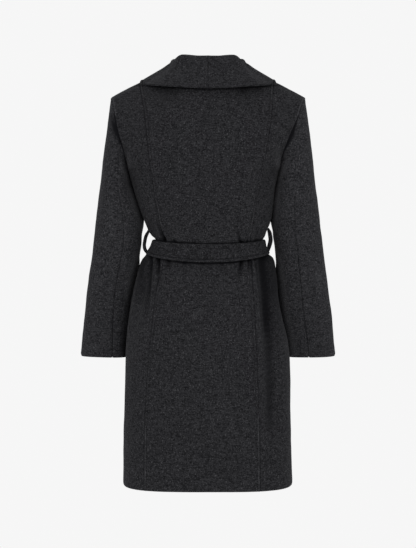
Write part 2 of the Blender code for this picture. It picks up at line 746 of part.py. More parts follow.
def refine(lines, steps):
    """More lines between the stations, on smooth curves through them."""
    fine = []
    for i in range(len(lines) - 1):
        before, after = lines[max(i - 1, 0)], lines[min(i + 2, len(lines) - 1)]
        for k in range(steps):
            t = k / steps
            fine.append(
                [
                    0.5
                    * (
                        2 * b
                        + (c - a) * t
                        + (2 * a - 5 * b + 4 * c - d) * t * t
                        + (3 * b - a - 3 * c + d) * t**3
                    )
                    for a, b, c, d in zip(before, lines[i], lines[i + 1], after)
                ]
            )
    fine.append(lines[-1])
    return fine


def collar_half(name, side, tree, collection, material):
    middle = refine(collar_grid(side, tree), 2)
    normals = open_grid_normals(middle, side)
    for j in range(len(middle[0])):
        normals[0][j] = Vector((0.0, normals[0][j].y, normals[0][j].z)).normalized()
        middle[0][j] = Vector((side * SEAM_GAP / 2, middle[0][j].y, middle[0][j].z))
    half = DOUBLE_CLOTH / 2
    rows = [[p + n * half for p, n in zip(r, ns)] for r, ns in zip(middle, normals)]
    return wall(name, rows, normals, DOUBLE_CLOTH, collection, material)


def front_surface(x, height):
    """The outermost point of the fronts at this place."""
    side = 1 if x >= 0 else -1
    return coat_point(side, True, around_for(side, True, abs(x), height), height)


def around_body(angle, height):
    """A point of the coat at this angle from the centre back, + to the wearer's right."""
    side = 1 if sin(angle) >= 0 else -1
    turn = angle % tau
    if turn > pi:
        turn = tau - turn
    front = turn > pi / 2
    around = turn / (pi / 2)
    if front:
        around = 2 - around
    point = coat_point(side, front, around, height)
    return point, coat_normal(side, front, around, height)


def belt_level(angle, share):
    """The level of the coat under the belt, from its bottom edge, -1, to its top edge, 1."""
    half = BELT_HALF_WIDTH - BELT_NARROWING * sin(angle) ** 2
    return BELT_MIDDLE_BACK + half * share


def belt_point(angle, share, lift):
    surface, normal = around_body(angle, belt_level(angle, share))
    flat = Vector((normal.x, normal.y, 0.0)).normalized()
    return surface + flat * lift


def belt_waist(collection, material):
    """The belt lies on the coat all round, so it flares a little with the skirt."""
    shares = (-1.0, -0.35, 0.35, 1.0)
    rings = []
    for k in range(BELT_SECTIONS):
        angle = tau * k / BELT_SECTIONS
        back = [belt_point(angle, share, BELT_LIFT) for share in shares]
        face = [belt_point(angle, share, BELT_LIFT + DOUBLE_CLOTH) for share in shares]
        rings.append(back + face[::-1])
    return ring_wall("belt_waist", rings, collection, material)


def behind_knot(height):
    """How far forward the belt, or the skirt under it, stands behind the knot."""
    belt_foot = BELT_MIDDLE_BACK - BELT_HALF_WIDTH
    nearest = KNOT_X + KNOT_HALF[0] * 0.8
    belt_face = front_surface(nearest, max(height, belt_foot)).y + BELT_LIFT + DOUBLE_CLOTH
    return max(belt_face, front_surface(nearest, height).y) + KNOT_CLEARANCE


def knot(collection, material):
    """The tied knot: wound cloth, so a solid lump, fuller below where the ends come out."""
    half_x, half_y, half_z = KNOT_HALF
    rings = []
    for k in range(1, KNOT_RINGS):
        tilt = pi * k / KNOT_RINGS - pi / 2
        size = cos(tilt) ** 0.6
        height = KNOT_HEIGHT + half_z * (1 if tilt > 0 else -1) * abs(sin(tilt)) ** 0.8
        fuller = 1 - 0.12 * sin(tilt)
        middle_y = behind_knot(height) + half_y * size
        ring = []
        for j in range(KNOT_COLUMNS):
            turn = tau * j / KNOT_COLUMNS
            c, s = cos(turn), sin(turn)
            box = (abs(c) ** 2.6 + abs(s) ** 2.6) ** (-1 / 2.6)
            pleat = 1 + 0.05 * sin(3 * turn + 2.5 * tilt)
            x = KNOT_X + half_x * size * fuller * box * c * pleat
            ring.append(Vector((x, middle_y + half_y * size * box * s, height)))
        rings.append(ring)
    return ring_wall("belt_knot", rings, collection, material, closed=False)


def belt_end(name, line, collection, material):
    """One hanging end, laid down the front skirt from its table of heights and places."""
    middle, widths, ways = [], [], []
    top, bottom = line[0][0], line[-1][0]
    for k in range(BELT_END_SECTIONS + 1):
        height = top + (bottom - top) * k / BELT_END_SECTIONS
        x, width, off = (read(line, height, column) for column in (1, 2, 3))
        surface = front_surface(x, height)
        middle.append(Vector((x, surface.y + DOUBLE_CLOTH / 2 + off, height)))
        widths.append(width)
        left, right = front_surface(x - 0.02, height), front_surface(x + 0.02, height)
        ways.append((right - left).normalized())
    return strip(name, middle, widths, DOUBLE_CLOTH, ways, collection, material)


def carrier(name, side, line, collection, material):
    """A tube of cloth sewn to the side seam above and below the belt, standing off it."""
    middle, thick = [], []
    for height, out, thickness in line:
        level = height - waist_bend(height, 1.0)
        face = side * coat_point(side, False, 1.0, level).x
        middle.append(Vector((side * (face + SEAM_GAP + thickness / 2 + out), 0.0, height)))
        thick.append(thickness)
    rings = []
    last = len(middle) - 1
    for i, point in enumerate(middle):
        along = (middle[min(i + 1, last)] - middle[max(i - 1, 0)]).normalized()
        wide = Vector((0.0, CARRIER_WIDTH / 2, 0.0))
        deep = along.cross(wide).normalized() * thick[i] / 2
        ring = []
        for j in range(CARRIER_COLUMNS):
            turn = tau * j / CARRIER_COLUMNS
            ring.append(point + wide * cos(turn) + deep * sin(turn))
        rings.append(ring)
    return ring_wall(name, rings, collection, material, closed=False)


def strip(name, middle, widths, thick, flat_way, collection, material):
    """A flat strip of cloth along a line of points."""
    rings = []
    last = len(middle) - 1
    for i, point in enumerate(middle):
        along = (middle[min(i + 1, last)] - middle[max(i - 1, 0)]).normalized()
        wide = flat_way[i] - along * flat_way[i].dot(along)
        wide = wide.normalized() * widths[i] / 2
        deep = along.cross(wide).normalized() * thick / 2
        rings.append(
            [point - wide - deep, point - deep, point + wide - deep,
             point + wide + deep, point + deep, point - wide + deep]
        )  # fmt: skip
    return ring_wall(name, rings, collection, material, closed=False)


def main():
    remove_everything()
    collection = bpy.data.collections.new("belted_wrap_coat")
    bpy.context.scene.collection.children.link(collection)
    wool = bpy.data.materials.new("charcoal_wool")
    wool.use_nodes = True
    shader = wool.node_tree.nodes["Principled BSDF"]
    shader.inputs["Base Color"].default_value = COLOURS["wool"]
    shader.inputs["Roughness"].default_value = 0.95

    back_panel(
        "back_centre",
        lambda level: -princess(-1, level),
        lambda level: princess(1, level),
        BACK_COLUMNS,
        collection,
        wool,
    )
    back_panel(
        "back_side_right",
        lambda level: princess(1, level),
        lambda level: 1.0,
        SIDE_COLUMNS,
        collection,
        wool,
    )
    back_panel(
        "back_side_left",
        lambda level: -1.0,
        lambda level: -princess(-1, level),
        SIDE_COLUMNS,
        collection,
        wool,
    )
    front_panel("front_right", 1, collection, wool)
    front_panel("front_left", -1, collection, wool)
    for side, word in ((1, "right"), (-1, "left")):
        sleeve_piece("sleeve_upper_" + word, side, False, collection, wool)
        sleeve_piece("sleeve_under_" + word, side, True, collection, wool)
    tree = body_tree()
    collar_half("collar_right", 1, tree, collection, wool)
    collar_half("collar_left", -1, tree, collection, wool)
    belt_waist(collection, wool)
    knot(collection, wool)
    belt_end("belt_end_right", BELT_END_RIGHT, collection, wool)
    belt_end("belt_end_left", BELT_END_LEFT, collection, wool)
    carrier("belt_carrier_right", 1, CARRIER_RIGHT, collection, wool)
    carrier("belt_carrier_left", -1, CARRIER_LEFT, collection, wool)


main()
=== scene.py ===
"""A belted wrap coat with a shawl collar, in charcoal felted wool, seen from the back.

Metres, +Z up. The back of the coat faces -Y, its fronts face +Y and +X is the wearer's right.
Each piece of cloth is a thin shell: a grid of points on the coat's form, smoothed to a fine
grid, pressed into its creases and seams, and given the cloth's thickness.
"""

from math import cos, e, pi, sin, sqrt, tau

import bpy
import numpy as np
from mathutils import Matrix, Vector, noise
from mathutils.bvhtree import BVHTree


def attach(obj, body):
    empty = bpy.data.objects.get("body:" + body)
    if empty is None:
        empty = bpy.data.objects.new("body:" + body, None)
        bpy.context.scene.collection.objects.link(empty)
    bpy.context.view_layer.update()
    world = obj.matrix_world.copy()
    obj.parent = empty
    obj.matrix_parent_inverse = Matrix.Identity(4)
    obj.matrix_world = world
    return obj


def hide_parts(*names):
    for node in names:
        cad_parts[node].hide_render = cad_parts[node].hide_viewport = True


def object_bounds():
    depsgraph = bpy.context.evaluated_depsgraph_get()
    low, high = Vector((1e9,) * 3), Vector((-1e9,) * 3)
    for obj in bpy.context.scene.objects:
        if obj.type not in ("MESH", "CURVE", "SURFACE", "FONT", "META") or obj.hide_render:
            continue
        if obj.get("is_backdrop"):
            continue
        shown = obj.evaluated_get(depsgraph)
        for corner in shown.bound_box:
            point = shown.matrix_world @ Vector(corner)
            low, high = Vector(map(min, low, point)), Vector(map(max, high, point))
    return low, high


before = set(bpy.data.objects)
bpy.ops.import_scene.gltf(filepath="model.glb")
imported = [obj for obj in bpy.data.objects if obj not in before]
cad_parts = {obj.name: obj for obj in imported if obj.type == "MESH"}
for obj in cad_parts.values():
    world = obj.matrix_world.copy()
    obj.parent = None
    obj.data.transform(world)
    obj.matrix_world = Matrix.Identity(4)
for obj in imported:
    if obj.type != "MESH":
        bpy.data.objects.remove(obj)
cad_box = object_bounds()


# ---------------------------------------------------------------- the studio
# A white room lit evenly from all round, floor and walls alike, with a little more light from
# behind the camera, as for a catalogue picture of a dark coat. The camera stands 3.6 m behind
# the coat at chest height and looks a little down.

PHOTO_HEIGHT = 548
PHOTO_PIXEL = 0.0023  # metres, at the middle of the coat
SENSOR_HEIGHT = 36.0
CAMERA_PLACE = Vector((0.0, -3.6, -0.255))
CAMERA_AIM = Vector((0.0, 0.0, -0.4715))
FLOOR_HEIGHT = -1.45
FLOOR_SIZE = 60.0
WHITE = (0.923, 0.923, 0.923, 1.0)
FLOOR_PAINT = {
    "Base Color": (0.0, 0.0, 0.0, 1.0),
    "Specular IOR Level": 0.0,
    "Emission Color": WHITE,
    "Emission Strength": 1.0,
}
LIGHTS = (
    # name, place, watts, size
    ("light_left", (-0.9, -4.2, 0.5), 16.0, 1.6),
    ("light_right", (0.9, -4.2, 0.3), 20.0, 1.6),
)


def new_material(name, settings):
    """A material whose shader's sockets are set to these values."""
    material = bpy.data.materials.new(name)
    material.use_nodes = True
    sockets = material.node_tree.nodes["Principled BSDF"].inputs
    for socket, value in settings.items():
        sockets[socket].default_value = value
    return material


def aimed(thing, place, aim):
    """Puts the camera or a lamp in the room, turned towards what it is aimed at."""
    thing.location = place
    thing.rotation_euler = (aim - Vector(place)).to_track_quat("-Z", "Y").to_euler()
    bpy.context.scene.collection.objects.link(thing)
    return thing


lens = bpy.data.cameras.new("camera")
lens.sensor_fit = "VERTICAL"
lens.sensor_height = SENSOR_HEIGHT
lens.lens = SENSOR_HEIGHT / (PHOTO_HEIGHT * PHOTO_PIXEL) * -CAMERA_PLACE.y
bpy.context.scene.camera = aimed(bpy.data.objects.new("camera", lens), CAMERA_PLACE, CAMERA_AIM)

for name, place, watts, size in LIGHTS:
    lamp = bpy.data.lights.new(name, "AREA")
    lamp.energy = watts
    lamp.size = size
    aimed(bpy.data.objects.new(name, lamp), place, CAMERA_AIM)

world = bpy.data.worlds.new("white_room")
world.use_nodes = True
world.node_tree.nodes["Background"].inputs["Color"].default_value = WHITE
bpy.context.scene.world = world
bpy.context.scene.view_settings.view_transform = "Standard"

bpy.ops.mesh.primitive_plane_add(size=FLOOR_SIZE, location=(0.0, 0.0, FLOOR_HEIGHT))
floor = bpy.context.object
floor.name = "floor"
floor.data.materials.append(new_material("pale_floor", FLOOR_PAINT))
floor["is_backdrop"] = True


# ---------------------------------------------------------------- the back
# Three panels of felted wool, cut to the hem and joined by two seams that run from the
# shoulders to the hem. The seam allowances are pressed to one side and topstitched down.
# The belt pulls the cloth in, so it is creased above and below the waist.

CLOTH = 0.0026
UNDERARM_HEIGHT = -0.235
SHOULDER_TIP_HEIGHT = -0.067
SHOULDER_TIP_OUT = 0.220
SHOULDER_TIP_Y = -0.010
NECK_HALF_WIDTH = 0.075
BACK_NECK_DEPTH = 0.065
BACK_NECK_DROP = 0.020
FRONT_NECK_DEPTH = 0.045
BACK_AT_UNDERARM = 0.129
FRONT_AT_UNDERARM = 0.134
BLADE_FULLNESS = 0.006
BLADE_TOP = 0.6  # as a rise, from 0 at the underarm to 1 at the shoulder
ARC_OPENING = 0.30  # the quarter girth ends this share short of square above the underarm
ARC_OPENS_BY = 0.4
CHEST_CURVE = (2.6, 1.6)  # powers of the curve from the chest up to the neck
NECK_BLEND_FROM = 0.5
NECK_BLEND_POWER = 1.3
SHOULDER_CROWN = 0.004
HEM_HEIGHT = -0.9495
SEAM_LAP = 0.0006  # the edges cross this far in the dip of a seam
QUARTER_GIRTH = 0.155
BODY_RADIUS = 0.14
WAIST_HEIGHT = -0.41
WAIST_REACH = 0.05
BELT_MIDDLE_RISE = 0.0120
RINGS = (
    # height, half_width, lean, back, front, squareness
    (HEM_HEIGHT, 0.1950, -0.0007, 0.150, 0.146, 3.50),
    (-0.850, 0.1930, -0.0015, 0.149, 0.144, 3.05),
    (-0.760, 0.1908, -0.0015, 0.148, 0.142, 2.70),
    (-0.670, 0.1895, -0.0007, 0.146, 0.139, 2.55),
    (-0.620, 0.1850, -0.0025, 0.144, 0.137, 2.50),
    (-0.575, 0.1762, -0.0063, 0.141, 0.134, 2.50),
    (-0.524, 0.1672, -0.0070, 0.136, 0.130, 2.45),
    (-0.488, 0.1618, -0.0049, 0.130, 0.125, 2.40),
    (-0.461, 0.1570, -0.0036, 0.122, 0.118, 2.40),
    (-0.449, 0.1535, -0.0020, 0.117, 0.114, 2.35),
    (-0.441, 0.1485, -0.0014, 0.112, 0.110, 2.35),
    (-0.434, 0.1395, -0.0012, 0.105, 0.104, 2.30),
    (-0.422, 0.1290, 0.0000, 0.103, 0.102, 2.30),
    (-0.404, 0.1240, 0.0016, 0.103, 0.102, 2.30),
    (-0.395, 0.1295, 0.0010, 0.106, 0.105, 2.30),
    (-0.380, 0.1355, -0.0006, 0.109, 0.109, 2.30),
    (-0.358, 0.1430, -0.0005, 0.113, 0.114, 2.30),
    (-0.320, 0.1530, -0.0042, 0.119, 0.121, 2.30),
    (-0.275, 0.1622, -0.0092, 0.125, 0.129, 2.35),
    (UNDERARM_HEIGHT, 0.1720, -0.0105, BACK_AT_UNDERARM, FRONT_AT_UNDERARM, 2.40),
)
# Above the underarm, rise goes from 0 there to 1 at the neck and the shoulder seam.
ARMHOLE = (
    # rise, half_width, lean, back_edge, front_edge
    (0.00, 0.1720, -0.0105, 0.000, 0.000),
    (0.03, 0.1726, -0.0104, 0.018, 0.016),
    (0.10, 0.1741, -0.0101, 0.034, 0.030),
    (0.20, 0.1772, -0.0103, 0.047, 0.042),
    (0.35, 0.1842, -0.0085, 0.058, 0.052),
    (0.50, 0.1932, -0.0072, 0.062, 0.055),
    (0.70, 0.2046, -0.0034, 0.058, 0.050),
    (0.85, 0.2115, -0.0016, 0.050, 0.041),
    (0.95, 0.2175, -0.0002, 0.033, 0.022),
    (1.00, SHOULDER_TIP_OUT, 0.0000, -SHOULDER_TIP_Y, SHOULDER_TIP_Y),
)
PRINCESS_SEAMS = (
    # height, left_out, right_out
    (HEM_HEIGHT, 0.1440, 0.1170),
    (-0.820, 0.1420, 0.1150),
    (-0.700, 0.1360, 0.1110),
    (-0.560, 0.1230, 0.1040),
    (-0.450, 0.1070, 0.0970),
    (-0.400, 0.1010, 0.0950),
    (-0.350, 0.1090, 0.1020),
    (-0.300, 0.1180, 0.1110),
    (-0.235, 0.1270, 0.1240),
    (-0.180, 0.1340, 0.1320),
    (-0.100, 0.1430, 0.1430),
    (-0.030, 0.1560, 0.1490),
)
PRINCESS_TOP = -0.030
FOLD_STARTS_BY = 0.10  # shares of a fold's length
FOLD_FADES_FROM = 0.45
FOLDS = (
    # top, bottom, around_top, around_bottom, width_deg, depth
    (-0.428, -0.990, 54.0, 48.0, 7.0, -0.0085),
    (-0.432, -0.800, 38.0, 35.0, 7.0, 0.0050),
    (-0.432, -0.660, -55.0, -63.0, 6.0, -0.0070),
    (-0.436, -0.560, -30.0, -31.0, 6.0, 0.0035),
    (-0.310, -0.392, -38.0, -32.0, 5.0, -0.0045),
    (-0.330, -0.394, 22.0, 27.0, 5.0, -0.0035),
    (-0.180, -0.400, 64.0, 52.0, 9.0, -0.0050),
    (-0.430, -0.820, 142.0, 136.0, 8.0, -0.0070),
    (-0.430, -0.760, -140.0, -130.0, 8.0, -0.0060),
    (-0.430, -0.640, 168.0, 172.0, 7.0, 0.0040),
    (-0.300, -0.394, 140.0, 146.0, 6.0, -0.0040),
    (-0.300, -0.394, -138.0, -146.0, 6.0, -0.0040),
)
# Creases pressed into the cloth, as seen from behind: three points along each
BACK_CREASES = (
    # (x, height) at its start, middle and end, width, depth at the start, middle and end
    # pinched in above the belt
    ((-0.122, -0.310), (-0.116, -0.352), (-0.100, -0.392), 0.0056, 0.0, 0.0036, 0.0110),
    ((-0.086, -0.378), (-0.080, -0.388), (-0.072, -0.400), 0.0040, 0.0, 0.0030, 0.0060),
    ((0.055, -0.325), (0.0626, -0.366), (0.0765, -0.400), 0.0050, 0.0, 0.0030, 0.0090),
    ((0.096, -0.372), (0.092, -0.384), (0.086, -0.400), 0.0042, 0.0, 0.0028, 0.0056),
    ((0.020, -0.378), (0.019, -0.390), (0.016, -0.404), 0.0050, 0.0, 0.0006, 0.0014),
    ((-0.036, -0.372), (-0.034, -0.388), (-0.032, -0.404), 0.0060, 0.0, 0.0007, 0.0018),
    ((0.112, -0.330), (0.114, -0.362), (0.108, -0.396), 0.0090, 0.0, 0.0026, 0.0034),
    ((-0.132, -0.300), (-0.128, -0.345), (-0.120, -0.392), 0.0075, 0.0, 0.0016, 0.0022),
    # pleated in below the belt
    ((-0.1120, -0.426), (-0.1122, -0.450), (-0.1115, -0.500), 0.0046, 0.0090, 0.0058, 0.0),
    ((-0.1290, -0.430), (-0.1310, -0.475), (-0.1370, -0.570), 0.0054, 0.0062, 0.0062, 0.0010),
    ((-0.150, -0.440), (-0.150, -0.500), (-0.142, -0.600), 0.0140, 0.0030, 0.0034, 0.0),
    ((-0.088, -0.436), (-0.088, -0.450), (-0.087, -0.480), 0.0048, 0.0042, 0.0020, 0.0),
    ((-0.052, -0.438), (-0.053, -0.452), (-0.056, -0.486), 0.0052, 0.0028, 0.0012, 0.0),
    ((-0.012, -0.440), (-0.012, -0.452), (-0.014, -0.478), 0.0052, 0.0024, 0.0010, 0.0),
    ((0.030, -0.440), (0.029, -0.452), (0.026, -0.480), 0.0050, 0.0024, 0.0010, 0.0),
    ((0.0755, -0.430), (0.073, -0.448), (0.067, -0.492), 0.0050, 0.0086, 0.0050, 0.0),
    ((0.0905, -0.426), (0.094, -0.444), (0.098, -0.482), 0.0042, 0.0072, 0.0044, 0.0),
    # the deep fold down the right side of the skirt, and the ridge beside it
    ((0.1040, -0.432), (0.1200, -0.500), (0.1260, -0.680), 0.0040, 0.0046, 0.0040, 0.0010),
    ((0.1230, -0.430), (0.1370, -0.520), (0.1420, -0.800), 0.0155, 0.0076, 0.0088, 0.0024),
    ((0.1420, -0.640), (0.1430, -0.760), (0.1400, -0.945), 0.0140, 0.0012, 0.0034, 0.0016),
    ((0.1010, -0.440), (0.1110, -0.500), (0.1160, -0.660), 0.0075, -0.0018, -0.0022, 0.0),
    # slack in the cloth elsewhere
    ((-0.060, -0.120), (0.000, -0.132), (0.062, -0.118), 0.0180, 0.0, 0.0010, 0.0),
    ((-0.150, -0.205), (-0.128, -0.262), (-0.112, -0.300), 0.0130, 0.0, 0.0016, 0.0),
    ((0.150, -0.200), (0.128, -0.262), (0.112, -0.306), 0.0130, 0.0, 0.0018, 0.0),
    ((-0.070, -0.560), (-0.060, -0.650), (-0.062, -0.780), 0.0240, 0.0, 0.0012, 0.0),
    ((0.030, -0.520), (0.042, -0.640), (0.040, -0.800), 0.0260, 0.0, 0.0012, 0.0),
    ((-0.165, -0.600), (-0.170, -0.720), (-0.168, -0.860), 0.0180, 0.0, 0.0022, 0.0),
)
# Painted shade where the cloth isn't creased: beside the deep fold and
# along the sides, next to the sleeves
BACK_PAINTED_SHADE = (
    ((0.1520, -0.432), (0.1540, -0.480), (0.1640, -0.600), 0.0150, 0.0, 0.0050, 0.0066, 0.0026),
    ((-0.1360, -0.440), (-0.1400, -0.500), (-0.1400, -0.580), 0.0150, 0.0, 0.0014, 0.0024, 0.0),
    ((-0.1500, -0.440), (-0.1640, -0.500), (-0.1760, -0.640), 0.0060, 0.0, 0.0024, 0.0034, 0.0016),
    ((0.1660, -0.470), (0.1720, -0.520), (0.1800, -0.640), 0.0070, 0.0, 0.0050, 0.0040, 0.0016),
    ((-0.1480, -0.120), (-0.1520, -0.180), (-0.1440, -0.260), 0.0220, 0.0, 0.0012, 0.0016, 0.0010),
)
# Where the belt and the collar's edge lie on the cloth, and how dark the painted shade in the corner
# under them is
BELT_EDGES = (
    # out from the centre, its upper edge, its lower edge
    (0.000, -0.3980, -0.4395),
    (0.050, -0.3968, -0.4385),
    (0.090, -0.3945, -0.4340),
    (0.120, -0.3910, -0.4265),
    (0.150, -0.3880, -0.4210),
)
COLLAR_EDGE = (
    # out from the centre, height
    (0.000, -0.0520),
    (0.034, -0.0512),
    (0.074, -0.0482),
    (0.118, -0.0440),
    (0.160, -0.0400),
)
# Painted shade in those corners, and a painted shadow fading down below the belt
CORNER_SHADE = 0.0085
CORNER_WIDTH = 0.0034
UNDER_BELT_SHADE = 0.0034
UNDER_BELT_DEPTH = 0.030
# Painted shade where a sleeve comes close to the body, and painted highlight beside it on both
NEAR_SHADE = 0.0100
NEAR_WIDTH = 0.0022
NEAR_TOP = -0.075
NEAR_FADE = 0.06
BESIDE_HIGHLIGHT = 0.0022
BESIDE_PLACE = 0.0130
BESIDE_WIDTH = 0.0100
BESIDE_TOP = -0.185
BESIDE_FADE = 0.05
# Painted highlight on the body beside its side edge, near the underarm
SIDE_HIGHLIGHT = 0.0030
SIDE_PLACE = 0.028
SIDE_WIDTH = 0.022
SIDE_HEIGHT = -0.262
SIDE_REACH = 0.075
# The grid of the finished cloth, and what its seams do to it, with the shade and highlight painted
# along them
FINE_STEP = 0.0045
FEWEST_STEPS = 4
EDGE_PLACES = (0.0, 0.0007, 0.0016, 0.0028, 0.0044, 0.0058, 0.0064, 0.0070, 0.0076, 0.0084, 0.0104)
STITCH_LINE = 0.0070  # from the seam
STITCH_COLUMN = EDGE_PLACES.index(STITCH_LINE)
SEAM_DIP = 0.0020
SEAM_DIP_WIDTH = 0.0016
SEAM_SHADE = 0.0064
SEAM_RAISE = 0.0009  # the allowance under the cloth beside a topstitched seam
RAISED_TO = STITCH_LINE + 0.0006
RAISED_ROUNDING = 0.0010
GROOVE = 0.0011
GROOVE_WIDTH = 0.0009
GROOVE_SHADE = 0.0046
RIDGE_PLACE = 0.0026
RIDGE_WIDTH = 0.0014
RIDGE_HIGHLIGHT = 0.0034  # how much painted highlight lies along the armhole's edge at the shoulder
RIDGE_FOOT = -0.122
RIDGE_FADE = 0.015
ARMHOLE_START = 0.02  # above the underarm, where the side seam's dip gives way to the armhole
ARMHOLE_FLATNESS = 0.9
RAISED_HIGHLIGHT = 0.0028  # how much painted highlight lies along the raised edge of the allowance
# Where that painted highlight lies from the seam, patchy along it and stronger at some heights
SEAM_HIGHLIGHT_PLACE = 0.0042
SEAM_HIGHLIGHT_WIDTH = 0.0016
SEAM_HIGHLIGHT_PATCHES = ((61.0, 0.0), (149.0, 2.0), (23.0, 0.0))  # pace along the seam, start
SEAM_HIGHLIGHT_MEAN = 0.7
SEAM_HIGHLIGHT_SWING = 0.25
SEAM_HIGHLIGHT_MOST = 1.3
SEAM_HIGHLIGHT_ALONG = (
    # height, how much of that shows there
    (-0.80, 1.0),
    (-0.73, 0.4),
    (-0.46, 0.2),
    (-0.38, 0.8),
    (-0.25, 0.5),
    (-0.16, 0.3),
    (-0.10, 0.3),
    (-0.05, 0.8),
)
UNEVENNESS = (
    # spacing, height: how far the cloth wanders from its smooth form
    (0.085, 0.0016),
    (0.028, 0.0005),
    (0.011, 0.00018),
)
UNEVENNESS_SHIFT = 900  # keeps the three spacings from lining up
CREASE_SPOTS = 33
CREASE_SHOULDER = 0.62  # how broad the trough is against its low shoulders
SHARP_ANGLE = 1.2


def smooth_curve(part, start, end, leave, arrive):
    """The point at this part of a curve that leaves and arrives in the given directions."""
    square = part * part
    cube = square * part
    return (
        start * (2 * cube - 3 * square + 1)
        + leave * (cube - 2 * square + part)
        + end * (3 * square - 2 * cube)
        + arrive * (cube - square)
    )


def read(table, where, column):
    """The column's value at this place, on a smooth curve through the table's rows."""
    rows = table if table[0][0] < table[-1][0] else table[::-1]
    last = len(rows) - 1
    if where <= rows[0][0]:
        return rows[0][column]
    if where >= rows[last][0]:
        return rows[last][column]
    k = next(i for i in range(last) if where <= rows[i + 1][0])
    span = rows[k + 1][0] - rows[k][0]
    part = (where - rows[k][0]) / span

    def slope(i):
        low, high = max(i - 1, 0), min(i + 1, last)
        return (rows[high][column] - rows[low][column]) / (rows[high][0] - rows[low][0]) * span

    return smooth_curve(part, rows[k][column], rows[k + 1][column], slope(k), slope(k + 1))


def ease(value):
    """A gentle rise from 0 to 1."""
    value = min(max(value, 0.0), 1.0)
    return value * value * (3 - 2 * value)


def fading(value, place, width):
    """1 at the place, fading to 0 on both sides of it like a bell."""
    return e ** -(((value - place) / width) ** 2)


def box_reach(c, s, squareness):
    """How far a round-cornered box reaches in the direction (c, s); with 2 it is a circle."""
    return (abs(c) ** squareness + abs(s) ** squareness) ** (-1 / squareness)


def girth_arc(around, squareness, opened):
    """A quarter of the girth: out from the centre line, and how much of the depth is left."""
    angle = around * pi / 2
    s, c = abs(sin(angle)), abs(cos(angle))
    size = box_reach(c, s, squareness)
    out, deep = size * s, size * c
    end = (1 - ARC_OPENING * opened) * pi / 2
    cut_out = sin(around * end) / sin(end)
    cut_deep = (cos(around * end) - cos(end)) / (1 - cos(end))
    return out + (cut_out - out) * opened, deep + (cut_deep - deep) * opened


def waist_bend(height, around):
    """The rings at the waist rise to the sides, as the belt does."""
    to_side = sin(around * pi / 2) ** 2
    return BELT_MIDDLE_RISE * to_side * fading(height, WAIST_HEIGHT, WAIST_REACH)


def fold_depth(side, front, around, height):
    """How far the folds push the cloth out there; in where it is below 0."""
    angle = around * 90.0 * side
    if front:
        angle = side * (180.0 - around * 90.0)
    total = 0.0
    for top, bottom, at_top, at_bottom, width, depth in FOLDS:
        if not bottom < height < top:
            continue
        down = (top - height) / (top - bottom)
        middle = at_top + (at_bottom - at_top) * down
        faded = ease((down - FOLD_FADES_FROM) / (1 - FOLD_FADES_FROM))
        strength = min(1.0, down / FOLD_STARTS_BY) * (1 - faded)
        total += depth * fading(angle, middle, width) * ease(strength)
    return total


def lower_point(side, front, around, height):
    """A point of the coat's outer face below the underarm."""
    half, lean = read(RINGS, height, 1), read(RINGS, height, 2)
    deep = read(RINGS, height, 4 if front else 3)
    out, share = girth_arc(around, read(RINGS, height, 5), 0.0)
    swell = 1 + fold_depth(side, front, around, height) / BODY_RADIUS
    facing = 1 if front else -1
    bend = waist_bend(height, around)
    return Vector((lean + side * half * out * swell, facing * deep * share * swell, height + bend))


def shoulder_line(share, front):
    """The top edge: the neck, then the shoulder seam. Share is of the shoulder's half width."""
    neck = NECK_HALF_WIDTH / SHOULDER_TIP_OUT
    if share >= neck:
        part = (share - neck) / (1 - neck)
        crown = SHOULDER_CROWN * sin(pi * part)
        return SHOULDER_TIP_Y * part, SHOULDER_TIP_HEIGHT * part + crown
    curve = sqrt(1 - (share / neck) ** 2)
    if front:
        return FRONT_NECK_DEPTH * curve, 0.0
    return -BACK_NECK_DEPTH * curve, -BACK_NECK_DROP * curve * curve


def upper_point(side, front, around, rise):
    """A point of the coat's outer face between the underarm and the shoulder."""
    half, lean = read(ARMHOLE, rise, 1), read(ARMHOLE, rise, 2)
    edge = read(ARMHOLE, rise, 4) if front else -read(ARMHOLE, rise, 3)
    out, share = girth_arc(around, RINGS[-1][5], ease(rise / ARC_OPENS_BY))
    rounding = (1 - min(rise, 1.0) ** CHEST_CURVE[0]) ** (1 / CHEST_CURVE[1])
    if front:
        middle = FRONT_NECK_DEPTH + (FRONT_AT_UNDERARM - FRONT_NECK_DEPTH) * rounding
    else:
        middle = -BACK_NECK_DEPTH - (BACK_AT_UNDERARM - BACK_NECK_DEPTH) * rounding
        middle -= BLADE_FULLNESS * sin(pi * min(rise / BLADE_TOP, 1.0)) ** 2
    top_y, top_z = shoulder_line(out, front)
    top_middle = FRONT_NECK_DEPTH if front else -BACK_NECK_DEPTH
    top_share = (top_y - SHOULDER_TIP_Y) / (top_middle - SHOULDER_TIP_Y)
    blend = ease((rise - NECK_BLEND_FROM) / (1 - NECK_BLEND_FROM)) ** NECK_BLEND_POWER
    share += (top_share - share) * blend
    height = UNDERARM_HEIGHT + (top_z - UNDERARM_HEIGHT) * rise
    swell = fold_depth(side, front, around, height) * (1 - ease(rise * 2))
    y = edge + (middle - edge) * share
    facing = 1 if front else -1
    return Vector((lean + side * (half * out + swell * out), y + facing * swell * share, height))


def coat_point(side, front, around, level):
    """A point of the coat's outer face. Level is a height below the underarm, a rise above 0."""
    if around > 1.0 and level < 0.0:
        front, around = not front, 2.0 - around
    around = min(around, 1.0)
    if level < UNDERARM_HEIGHT:
        return lower_point(side, front, around, level)
    if level <= 0:
        return lower_point(side, front, around, UNDERARM_HEIGHT)
    return upper_point(side, front, around, min(level, 1.0))


HALVINGS = 22


def around_for(side, front, out, level):
    """How far round the coat the surface is this far out from the centre line."""
    low, high = 0.0, 1.0
    for _ in range(HALVINGS):
        middle = (low + high) / 2
        if side * coat_point(side, front, middle, level).x < out:
            low = middle
        else:
            high = middle
    return (low + high) / 2


